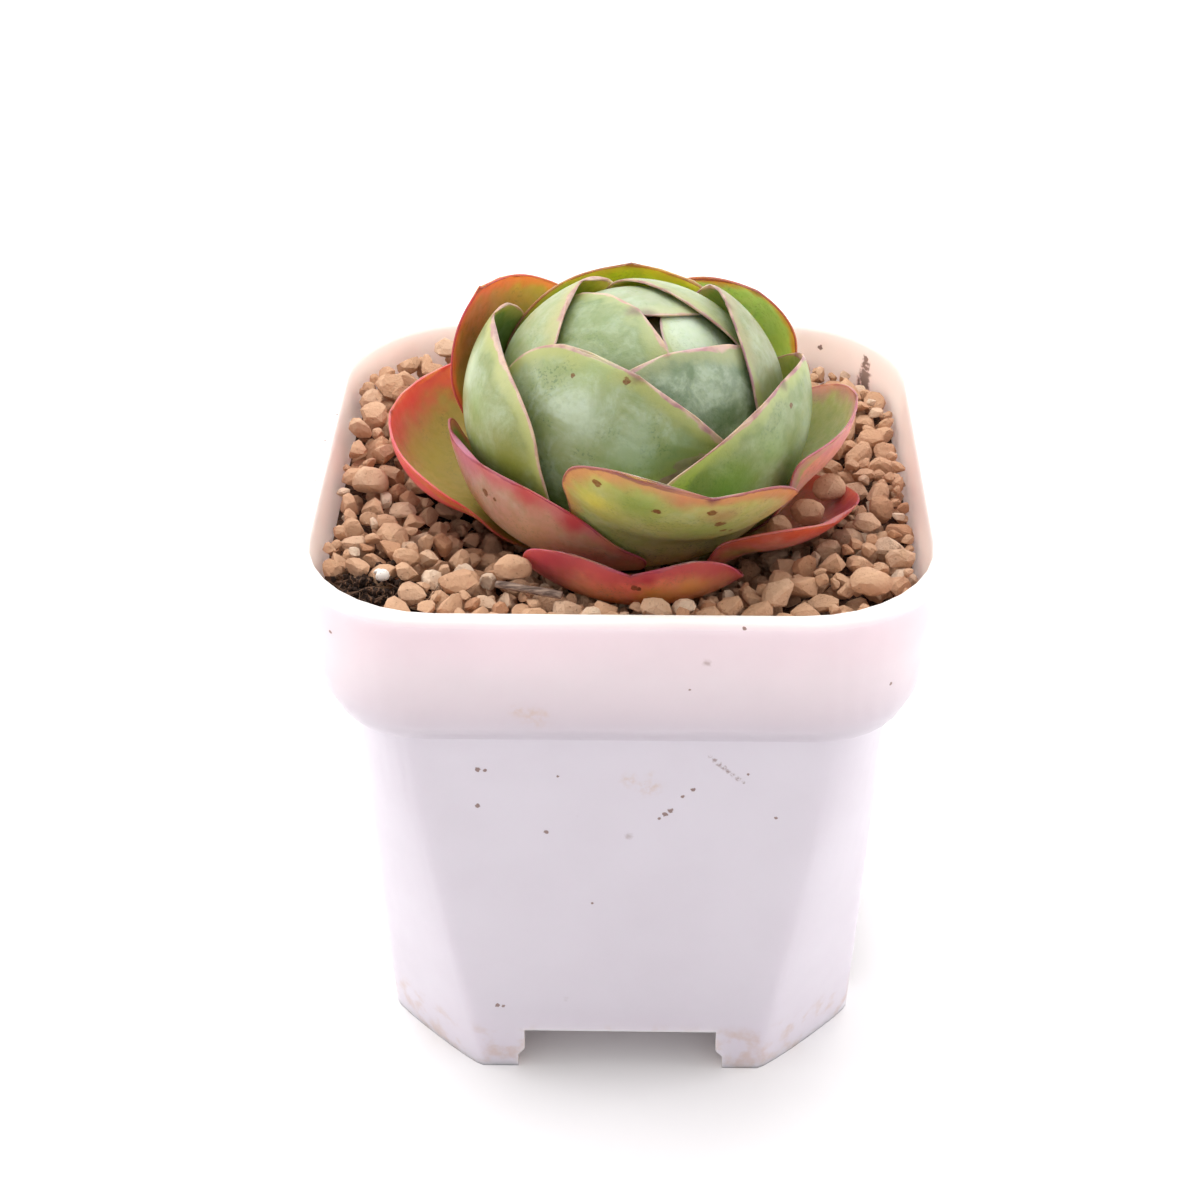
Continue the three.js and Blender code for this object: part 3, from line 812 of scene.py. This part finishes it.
class SUCCULENT_OT_litter(bpy.types.Operator):
    """Make the bit of twig and the white perlite grains"""

    bl_idname = "succulent.litter"
    bl_label = "Litter"

    def execute(self, context):
        self.make_twig()
        self.make_perlite()
        return {"FINISHED"}

    def make_twig(self):
        material, s, principled = new_material("twig_bark", Roughness=0.85)
        low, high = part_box("twig")
        run = Vector((high.x - low.x, low.y - high.y, 0)).normalized()
        # The bark's streaks run along the twig.
        turn = (0, 0, -math.atan2(run.y, run.x))
        inputs = {"Vector": s.place(), "Rotation": turn, "Scale": (0.22, 1.0, 1.0)}
        turned = s.add("ShaderNodeMapping", inputs)
        streak = s.noise(0.35 * MM, 5.0, turned.outputs["Vector"])
        base = s.mix(s.fade(streak, 0.3, 0.7), colour("#4a3830"), colour("#a08878"))
        s.feed(principled["Base Color"], base)
        s.feed(principled["Normal"], s.bump(streak, 0.18 * MM, 0.9))
        bm = merged("twig")
        round_edges(bm, 50, 0.08 * MM, 2)
        bmesh.ops.subdivide_edges(bm, edges=[e for e in bm.edges if e.calc_length() > 1 * MM], cuts=3)
        for vert in bm.verts:
            wander = noise.noise_vector(vert.co / (1.4 * MM))
            vert.co += Vector((0.0, wander.y, wander.z)) * 0.12 * MM
        finish_piece(bm, "twig_bark", material, ["twig"])

    def make_perlite(self):
        material, s, principled = new_material("perlite", Roughness=0.8)
        pores = s.fade(s.cells(0.3 * MM), 0.0, 0.35)
        white = settings("soil").perlite
        base = s.mix(pores, tuple(0.6 * c for c in white), white)
        s.feed(principled["Base Color"], base)
        s.feed(principled["Normal"], s.bump(pores, 0.12 * MM, 0.8))
        bm = merged("perlite_grain")
        rng = random.Random(5)
        offset = Vector((rng.uniform(-3.4, 1.2), rng.uniform(-1.6, 1.9), rng.uniform(-0.8, -0.2))) * MM
        add_lump(bm, rng, middle_of("perlite_grain") + offset, rng.uniform(0.3, 0.6) * MM, facets=4)
        finish_piece(bm, "perlite_bits", material, ["perlite_grain"])


# ---- Leaves ----

# Each leaf's paint. out and inn are the outer and inner faces from foot to tip. rim is the margin
# line, and wear how much of it has faded. blush is the soft colour next to the margin and how far in
# it reaches, in millimetres. bloom and fleck are shares, and glow is how much light goes through.
# left and right tint the leaf's two sides, each by a share. point is how far the tip is drawn out,
# in millimetres. scars are (along, across, radius in millimetres), and patches are the same with a
# colour and a strength.
BUD_OUT = "#a8b46c #9fb182 #a9bb98"
BUD_INN = "#8fa352 #7f9d4c #8aa556"
HEART = {"rim": "#8a4a58", "blush": ("#9a6a5c", 2.5)}


def folded(out, rim, blush, **more):
    """The paint of a leaf in the bud: a worn margin and a narrow blush."""
    return {"out": out, "rim": rim, "blush": (blush, 2.4), "wear": 0.6, **more}


PAINTS = {
    "heart_leaf_1": HEART,
    "heart_leaf_2": HEART,
    "heart_leaf_3": HEART,
    "crown_leaf_right": folded("#a8b486 #b0c49c #c4d0b4", "#b58a90", "#b4bd8c", bloom=0.9),
    "crown_leaf_back": folded("#849164 #8ea075 #a2ab8a", "#b98f86", "#b4b88a", bloom=0.5),
    "crown_leaf_left": folded("#717c4e #798956 #7f8f5a", "#b98a86", "#aab078", bloom=0.45),
    "bud_leaf_back": folded("#7a8a53 #89976a #a2aa85", "#a06a78", "#a9ad7c", bloom=0.6),
    "bud_leaf_front": folded("#657550 #6a7d5f #728367", "#b27f8c", "#a3a87c", bloom=0.8, fleck=0.8),
    "bud_leaf_left": folded("#7e8c4b #909b6b #a3aa81", "#b07f80", "#b3ae7a", bloom=0.5),
    "bud_leaf_right": folded("#728145 #7d8a5c #929572", "#8e5a72", "#a39c78", bloom=0.55),
    "wrap_leaf_front": folded(
        "#929751 #939e70 #909b69", "#a0687a", "#a8aa68", bloom=0.85, fleck=1.0,
        patches=[
            (0.76, -0.25, 5.5, "#c9d5c6", 0.5), (0.7, 0.05, 4.5, "#c6d3c8", 0.5),
            (0.66, 0.36, 4.5, "#6f8a60", 0.6),
            (0.9, -0.3, 4.5, "#a9b787", 0.5), (0.5, -0.2, 4.5, "#a8a868", 0.5),
        ],
        scars=[(0.909, -0.021, 0.47), (0.796, -0.383, 0.31), (0.746, 0.235, 0.23)],
    ),
    "wrap_leaf_back": {
        "glow": 0.85, "inn": "#9eb34e #a4c052 #9eb647", "rim": "#8a4a48", "blush": ("#a8a058", 2.0),
        "point": 0.6,
    },
    "wrap_leaf_right": folded(
        "#687b34 #798b52 #849365", "#a0627a", "#aab474", inn="#8aa24a #a3b35c #c2c074", fleck=0.7,
        patches=[
            (0.62, -0.55, 5.0, "#7b9c48", 0.7), (0.75, -0.3, 4.0, "#86a45a", 0.5),
            (0.72, 0.2, 5.0, "#c0cdb6", 0.6),
            (0.55, 0.1, 4.5, "#c2ceb4", 0.5),
        ],
        scars=[(0.887, -0.01, 0.39)],
    ),
    "wrap_leaf_left": folded(
        "#727a28 #838c4b #87925d", "#b58288", "#b2b472", inn="#5f8038 #66893f #7a9a52", bloom=0.5,
        patches=[
            (0.55, 0.8, 5.5, "#838538", 0.9), (0.66, 0.5, 4.0, "#869c50", 0.6),
            (0.8, 0.2, 4.0, "#c3d0b4", 0.6),
            (0.45, 0.5, 5.0, "#8c8c3c", 0.85),
        ],
    ),
    "cup_leaf_back_right": {
        "glow": 0.85, "inn": "#acc695 #c2dda6 #b6d5a6", "rim": "#8c3b46", "blush": ("#c8844e", 1.8),
        "wear": 0.0, "left": ("#d48a5c", 0.6),
    },
    "cup_leaf_back_left": {
        # The inner face's colours are partly the leaf's own olive and orange and partly painted light,
        # lifted for light shining through the leaf from behind.
        "glow": 0.85, "out": "#b4ba7c #bfb07c #c49a80", "inn": "#8a9a50 #a09a58 #c08468", "wear": 0.0,
        "rim": "#96304a", "blush": ("#d0605e", 2.6), "point": 0.9, "right": ("#d8846c", 0.6),
    },
    "cup_leaf_front": {
        # Painted light: the first outer colour, at the foot, is paler to make up for the shade under the
        # leaf's lower part.
        "glow": 0.7, "wear": 0.0, "out": "#dcdc98 #a3ab68 #a9a868", "rim": "#6e2f4e", "fleck": 0.8,
        "blush": ("#b07058", 2.8), "bloom": 0.25, "right": ("#b88f68", 0.7),
        "patches": [
            (0.6, -0.75, 4.0, "#c8c468", 0.8), (0.74, -0.45, 5.0, "#84984a", 0.8),
            (0.7, -0.1, 5.0, "#8a9c50", 0.75),
            (0.92, -0.3, 2.6, "#b07c62", 0.7), (0.86, 0.05, 3.0, "#a07c58", 0.7),
            (0.6, 0.3, 3.5, "#a8b078", 0.5),
            (0.62, 0.75, 4.0, "#b4785c", 0.7),
        ],
        "scars": [
            (0.69, -0.82, 0.65), (0.762, -0.371, 0.55), (0.869, -0.033, 0.6),
            (0.79, -0.01, 0.65), (0.7, 0.15, 0.45), (0.69, 0.2, 0.33),
        ],
    },
    "cup_leaf_right": {
        "glow": 0.85, "out": "#cd9075 #d69684 #df908f", "inn": "#9ea652 #a4a96b #b0ac75",
        "rim": "#8e3f5c", "blush": ("#b8788a", 2.8), "bloom": 0.35,
    },
    "cup_leaf_front_left": {
        "out": "#c8b482 #c49878 #bd8a7c", "rim": "#8e2a48", "wear": 0.0, "blush": ("#c0606a", 2.6),
        "bloom": 0.35,
        "patches": [
            (0.86, -0.35, 5.0, "#b98296", 0.75), (0.66, 0.7, 2.8, "#b53c44", 0.8),
            (0.78, 0.4, 3.0, "#b8484a", 0.7),
            (0.6, 0.35, 4.5, "#c9a47c", 0.6), (0.55, 0.85, 3.0, "#c08a5c", 0.6),
        ],
        "scars": [(0.8, -0.017, 0.6), (0.79, 0.1, 0.3)],
    },
    "outer_leaf_front_right": {
        "glow": 0.85, "out": "#d8d090 #dc9080 #c86064", "inn": "#b8a868 #c07a66 #a04054", "rim": "#983848",
        "blush": ("#c0503f", 4.0), "bloom": 0.25,
        "patches": [
            (0.9, 0.1, 4.0, "#8e2c48", 0.7), (0.5, -0.75, 3.2, "#a9aa62", 0.8),
            (0.45, -0.4, 3.5, "#b0a868", 0.7),
            (0.7, -0.75, 2.6, "#c4583e", 0.6),
        ],
    },
    "outer_leaf_left": {
        "glow": 0.85, "out": "#c88878 #d46a68 #d4606a", "inn": "#b0a850 #b09a50 #c46a5c", "rim": "#b8304a",
        "blush": ("#d24c58", 4.2), "bloom": 0.1,
        "patches": [
            (0.62, -0.1, 6.0, "#aea24e", 0.85), (0.8, -0.3, 3.5, "#d0505a", 0.6),
            (0.73, 0.5, 4.0, "#dc6668", 0.6),
        ],
        "scars": [(0.62, -0.41, 0.39), (0.731, -0.132, 0.36), (0.727, 0.039, 0.39)],
    },
    "outer_leaf_front": {
        "glow": 0.6, "out": "#fff472 #fbbe6d #e8796b", "inn": "#b0704c #a84a50 #983850", "rim": "#a8385a",
        "blush": ("#b84654", 3.0), "bloom": 0.15, "left": ("#98284c", 0.9), "right": ("#a84456", 0.7),
        "patches": [
            (0.76, 0.12, 3.6, "#e0b060", 0.95), (0.72, 0.45, 3.4, "#dca468", 0.9),
            (0.75, -0.62, 4.0, "#98304c", 0.6),
            (0.9, 0.12, 1.6, "#a83048", 0.6),
        ],
        "scars": [(0.885, -0.03, 0.42), (0.875, 0.02, 0.36)],
    },
    "outer_leaf_back": {
        "out": "#b0a070 #b89468 #b87a60", "inn": "#98a850 #a8a050 #b88850", "rim": "#a04048",
        "blush": ("#c8684c", 3.5), "bloom": 0.2,
    },
}
RIM_ANGLE = math.radians(50)
FOOT_HEIGHT = 59 * MM  # where the leaves leave the stem
HEART_HEIGHT = 78 * MM  # the middle of the bud
CREASE = 0.75  # how sharp the rim stays


def on_axis(height):
    """The point on the rosette's axis at this height."""
    return Vector((ROSETTE.x, ROSETTE.y, height))


def walk_lengths(bm, start):
    """The shortest way along the mesh's edges from one corner to every other."""
    lengths = {start.index: 0.0}
    queue = [(0.0, start.index)]
    while queue:
        length, index = heapq.heappop(queue)
        if length > lengths[index]:
            continue
        vert = bm.verts[index]
        for edge in vert.link_edges:
            other = edge.other_vert(vert).index
            further = length + edge.calc_length()
            if further < lengths.get(other, math.inf):
                lengths[other] = further
                heapq.heappush(queue, (further, other))
    return [lengths[v.index] for v in bm.verts]


def inner_verts(bm):
    """The corners on the face of the leaf that looks towards the rosette's axis."""
    sides = []
    waiting = set(bm.faces)
    while waiting:
        queue = [waiting.pop()]
        side = []
        while queue:
            face = queue.pop()
            side.append(face)
            for edge in face.edges:
                if edge.smooth:
                    for other in edge.link_faces:
                        if other in waiting:
                            waiting.discard(other)
                            queue.append(other)
        sides.append(side)
    sides.sort(key=lambda side: -sum(f.calc_area() for f in side))
    heart = on_axis(HEART_HEIGHT)

    def facing(side):
        return sum(f.normal.dot(heart - f.calc_center_median()) * f.calc_area() for f in side)

    inner = max(sides[:2], key=facing)
    return {v for f in inner for v in f.verts}


def leaf_mesh(name, paint):
    """The leaf's skin in quads, with its own measures kept at every corner."""
    bm = merged(name)
    for edge in bm.edges:
        edge.smooth = edge.calc_face_angle(0) < RIM_ANGLE
    bmesh.ops.join_triangles(
        bm, faces=bm.faces, cmp_seam=False, cmp_sharp=True, cmp_uvs=False, cmp_vcols=False,
        cmp_materials=False, angle_face_threshold=math.radians(40), angle_shape_threshold=math.radians(120),
    )
    bm.verts.ensure_lookup_table()
    bm.verts.index_update()
    crease = bm.edges.layers.float.new("crease_edge")
    keep = {k: bm.verts.layers.float.new(k) for k in ("along", "across", "margin", "inner")}
    foot_at = on_axis(FOOT_HEIGHT)
    foot = min(bm.verts, key=lambda v: (v.co - foot_at).length)
    crowd = KDTree(len(bm.verts))
    for vert in bm.verts:
        crowd.insert(vert.co, vert.index)
    crowd.balance()
    tip = max(bm.verts, key=lambda v: len(crowd.find_range(v.co, 0.9 * MM)))
    from_foot, from_tip = walk_lengths(bm, foot), walk_lengths(bm, tip)
    inner = inner_verts(bm)
    rim = [e for e in bm.edges if not e.smooth]
    axis = on_axis(tip.co.z + 5 * MM)
    sideways = (tip.co - foot.co).cross(axis - foot.co).normalized()
    middle = sum((v.co for v in bm.verts), Vector()) / len(bm.verts)
    outwards = Vector((middle.x - ROSETTE.x, middle.y - ROSETTE.y, 0))
    if sideways.dot(Vector((-outwards.y, outwards.x, 0))) < 0:
        sideways.negate()
    along = [a / (a + b) for a, b in zip(from_foot, from_tip)]
    across = [(v.co - foot.co).dot(sideways) for v in bm.verts]
    widest = max(map(abs, across))
    samples = []
    for edge in rim:
        a, b = edge.verts
        if along[a.index] < 0.1 or along[b.index] < 0.1:
            continue
        samples += [a.co.lerp(b.co, t) for t in (0.0, 0.25, 0.5, 0.75, 1.0)]
    edge_tree = KDTree(len(samples))
    for index, point in enumerate(samples):
        edge_tree.insert(point, index)
    edge_tree.balance()
    for vert in bm.verts:
        vert[keep["along"]] = along[vert.index]
        vert[keep["across"]] = across[vert.index] / widest
        vert[keep["margin"]] = edge_tree.find(vert.co)[2]
        vert[keep["inner"]] = 1.0 if vert in inner else 0.0
    for edge in rim:
        edge[crease] = CREASE
    point_tip(bm, tip, from_tip, paint.get("point", 0.25))
    ripple = settings("leaves").ripple
    for vert in bm.verts:
        if vert[keep["margin"]] < 0.3 * MM and along[vert.index] > 0.3:
            vert.co += noise.noise_vector(vert.co / (3.2 * MM)) * ripple
    return bm, keep


def point_tip(bm, tip, from_tip, length):
    """Draws the leaf's tip out into a small point."""
    near = [v for v in bm.verts if 1.2 * MM < from_tip[v.index] < 5 * MM]
    behind = sum((v.co for v in near), Vector()) / len(near)
    way = (tip.co - behind).normalized()
    for vert in bm.verts:
        share = max(0.0, 1 - from_tip[vert.index] / (1.0 * MM))
        vert.co += way * share * length * MM


def nearest_on_leaf(bm, keep, along, across):
    """The place on the leaf's outer face with these measures."""

    def away(vert):
        return math.hypot(vert[keep["along"]] - along, 0.5 * (vert[keep["across"]] - across))

    ranked = sorted((v for v in bm.verts if v[keep["inner"]] < 0.5), key=away)[:3]
    weights = [1 / (0.02 + away(v)) for v in ranked]
    return sum((v.co * w for v, w in zip(ranked, weights)), Vector()) / sum(weights)


def skin_group():
    """The colour, gloss and relief of a leaf's skin."""
    if "leaf_skin" in bpy.data.node_groups:
        return bpy.data.node_groups["leaf_skin"]
    given = settings("leaves")
    tree, s, got, made = new_group(
        "leaf_skin",
        "Foot:c Middle:c Top:c InnerFoot:c InnerMiddle:c InnerTop:c Rim:c Blush:c BlushReach:f "
        "Left:c LeftShare:f Right:c RightShare:f Bloom:f Fleck:f Wear:f Shift:v",
        "Color:c Roughness:f Height:f",
    )
    spot = s.add("ShaderNodeVectorMath", {0: s.place(), 1: got["Shift"]}, operation="ADD").outputs[0]
    along, across = s.attribute("along"), s.attribute("across")
    margin, inner = s.attribute("margin"), s.attribute("inner")
    cloud = s.noise(5 * MM, 3.0, spot)
    wander = s.math("ADD", along, s.times(s.math("SUBTRACT", cloud, 0.5), 0.16))
    outer = s.mix(s.fade(wander, 0.12, 0.48), got["Foot"], got["Middle"])
    outer = s.mix(s.fade(wander, 0.5, 0.92), outer, got["Top"])
    inside = s.mix(s.fade(wander, 0.2, 0.6), got["InnerFoot"], got["InnerMiddle"])
    inside = s.mix(s.fade(wander, 0.6, 0.95), inside, got["InnerTop"])
    base = s.mix(s.fade(inner, 0.4, 0.6), outer, inside)
    lean = s.math("ADD", across, s.times(s.math("SUBTRACT", cloud, 0.5), 0.25))
    base = s.mix(s.times(s.fade(lean, -0.15, -0.85), got["LeftShare"]), base, got["Left"])
    base = s.mix(s.times(s.fade(lean, 0.15, 0.85), got["RightShare"]), base, got["Right"])
    # Soft mottling and fine flecks.
    mottle = s.noise(1.1 * MM, 4.0, spot)
    base = s.mix(s.fade(mottle, 0.35, 0.7, 0.0, 0.5), base, s.mix(1.0, base, (0.74, 0.86, 0.66), "MULTIPLY"))
    flecks = s.fade(s.noise(0.32 * MM, 2.0, spot), 0.53, 0.66)
    patches = s.fade(s.noise(3.5 * MM, 2.0, spot), 0.42, 0.62)
    flecks = s.times(s.times(flecks, patches), s.times(got["Fleck"], 0.6))
    base = s.mix(flecks, base, given.fleck)
    # Waxy bloom, rubbed off in places, thicker on the outer face.
    wax = s.fade(s.noise(4.2 * MM, 5.0, spot, distortion=0.6, roughness=0.6), 0.4, 0.68)
    scratch = s.fade(s.noise(0.6 * MM, 3.0, spot), 0.3, 0.6, 0.55, 1.0)
    wax = s.times(s.times(wax, scratch), got["Bloom"])
    wax = s.times(wax, s.fade(inner, 0.6, 0.3, 0.35, 1.0))
    wax = s.times(wax, s.fade(margin, 0.3 * MM, 2.5 * MM))
    base = s.mix(s.times(wax, 0.75), base, given.bloom)
    # The blush, uneven in depth, and the margin line.
    depth = s.times(got["BlushReach"], s.fade(s.noise(3.0 * MM, 3.0, spot), 0.25, 0.75, 0.45, 1.35))
    blush = s.fade(s.math("DIVIDE", margin, depth), 1.0, 0.1)
    blush = s.times(blush, s.fade(along, 0.2, 0.6))
    base = s.mix(s.times(blush, 0.75), base, got["Blush"])
    width = s.times(s.fade(s.noise(1.6 * MM, 3.0, spot), 0.3, 0.7, 0.6, 1.5), given.margin)
    line = s.fade(s.math("DIVIDE", margin, width), 1.1, 0.35)
    line = s.times(line, s.fade(along, 0.15, 0.4))
    worn = s.fade(s.noise(2.4 * MM, 3.0, spot), 0.35, 0.62)
    faded = s.mix(got["Wear"], got["Rim"], (0.72, 0.5, 0.4))
    base = s.mix(s.times(line, 0.85), base, s.mix(worn, got["Rim"], faded))
    dark_tip = s.times(s.fade(along, 0.955, 0.995), 0.6)
    base = s.mix(dark_tip, base, colour("#5c2a3c"))
    s.feed(made["Color"], base)
    gloss = s.fade(mottle, 0.3, 0.7, 0.36, 0.46)
    s.feed(made["Roughness"], s.math("ADD", gloss, s.times(wax, 0.3)))
    grain = s.times(s.noise(0.18 * MM, 2.0, spot), 0.16)
    s.feed(made["Height"], s.math("ADD", s.times(mottle, 0.5), grain))
    return tree


def leaf_material(name, paint, scars, patches, rng):
    material, s, principled = new_material(
        name + "_skin", Subsurface_Weight=paint.get("glow", 0.4), Subsurface_Radius=(1.0, 0.8, 0.3),
        Subsurface_Scale=1.6 * MM, Specular_IOR_Level=0.45,
    )
    out, inn = paint.get("out", BUD_OUT).split(), paint.get("inn", BUD_INN).split()
    blush, reach = paint.get("blush", (paint["rim"], 0.5))
    left, left_share = paint.get("left", ("#ffffff", 0.0))
    right, right_share = paint.get("right", ("#ffffff", 0.0))
    skin = s.group(
        skin_group(),
        Foot=colour(out[0]), Middle=colour(out[1]), Top=colour(out[2]),
        InnerFoot=colour(inn[0]), InnerMiddle=colour(inn[1]), InnerTop=colour(inn[2]),
        Rim=colour(paint["rim"]), Blush=colour(blush), BlushReach=reach * MM,
        Left=colour(left), LeftShare=left_share, Right=colour(right), RightShare=right_share,
        Bloom=paint.get("bloom", 0.4), Fleck=paint.get("fleck", 0.5), Wear=paint.get("wear", 0.15),
        Shift=[rng.uniform(-1, 1) for _ in range(3)],
    ).outputs
    base = skin["Color"]
    for centre, radius, code, strength in patches:
        mask = add_spots(s, [(centre, radius)], 0.9, 1.0)
        tinted = s.mix(0.35, colour(code), base, "SOFT_LIGHT")
        base = s.mix(s.times(mask, strength), base, tinted)
    if scars:
        rough_scar = s.fade(s.noise(0.35 * MM, 3.0), 0.35, 0.7, 0.75, 1.0)
        scarred = s.times(add_spots(s, scars, 1.1), rough_scar)
        base = s.mix(scarred, base, settings("leaves").scar)
    s.feed(principled["Base Color"], base)
    s.feed(principled["Roughness"], skin["Roughness"])
    s.feed(principled["Normal"], s.bump(skin["Height"], 0.14 * MM, 0.7))
    return material


def make_leaf(name):
    paint = PAINTS[name]
    bm, keep = leaf_mesh(name, paint)
    scars = [(nearest_on_leaf(bm, keep, a, b), r * MM) for a, b, r in paint.get("scars", ())]
    patches = [
        (nearest_on_leaf(bm, keep, a, b), r * MM, code, strength)
        for a, b, r, code, strength in paint.get("patches", ())
    ]
    material = leaf_material(name, paint, scars, patches, random.Random(name))
    finish_piece(bm, name + "_blade", material, [name], levels=2)


class SUCCULENT_OT_bud(bpy.types.Operator):
    """Make the leaves that are folded into the bud"""

    bl_idname = "succulent.bud"
    bl_label = "Bud leaves"

    def execute(self, context):
        for name in PAINTS:
            if name.startswith(("heart", "crown", "bud", "wrap")):
                make_leaf(name)
        return {"FINISHED"}


class SUCCULENT_OT_outer(bpy.types.Operator):
    """Make the cupped and spreading leaves round the bud, and the stem"""

    bl_idname = "succulent.outer"
    bl_label = "Outer leaves and stem"

    def execute(self, context):
        for name in PAINTS:
            if name.startswith(("cup", "outer")):
                make_leaf(name)
        material, s, principled = new_material("stem_bark", Roughness=0.8)
        streak = s.noise(0.8 * MM, 4.0)
        s.feed(principled["Base Color"], s.mix(streak, colour("#5f4a34"), colour("#9a8560")))
        s.feed(principled["Normal"], s.bump(streak, 0.2 * MM))
        dress_node("stem", material)
        return {"FINISHED"}


# ---- The panel, and making it all ----

OPERATORS = [
    SUCCULENT_OT_stage,
    SUCCULENT_OT_pot,
    SUCCULENT_OT_soil,
    SUCCULENT_OT_gravel,
    SUCCULENT_OT_litter,
    SUCCULENT_OT_bud,
    SUCCULENT_OT_outer,
]


class SUCCULENT_PT_panel(bpy.types.Panel):
    """Lists the steps that make the potted plant"""

    bl_idname = "SUCCULENT_PT_panel"
    bl_label = "Potted succulent"
    bl_space_type = "VIEW_3D"
    bl_region_type = "UI"
    bl_category = "Succulent"

    def draw(self, context):
        for step in OPERATORS:
            self.layout.operator(step.bl_idname)
        for name, group in SETTINGS.items():
            box = self.layout.box()
            for key in group.__annotations__:
                box.prop(settings(name), key)


def register():
    for group in SETTINGS.values():
        bpy.utils.register_class(group)
    for cls in OPERATORS + [SUCCULENT_PT_panel]:
        bpy.utils.register_class(cls)
    for name, group in SETTINGS.items():
        setattr(bpy.types.Scene, "succulent_" + name, bpy.props.PointerProperty(type=group))


def unregister():
    for name in SETTINGS:
        delattr(bpy.types.Scene, "succulent_" + name)
    for cls in [SUCCULENT_PT_panel] + OPERATORS[::-1]:
        bpy.utils.unregister_class(cls)
    for group in SETTINGS.values():
        bpy.utils.unregister_class(group)


def main():
    register()
    for step in OPERATORS:
        family, action = step.bl_idname.split(".")
        getattr(getattr(bpy.ops, family), action)()


if __name__ == "__main__":
    main()
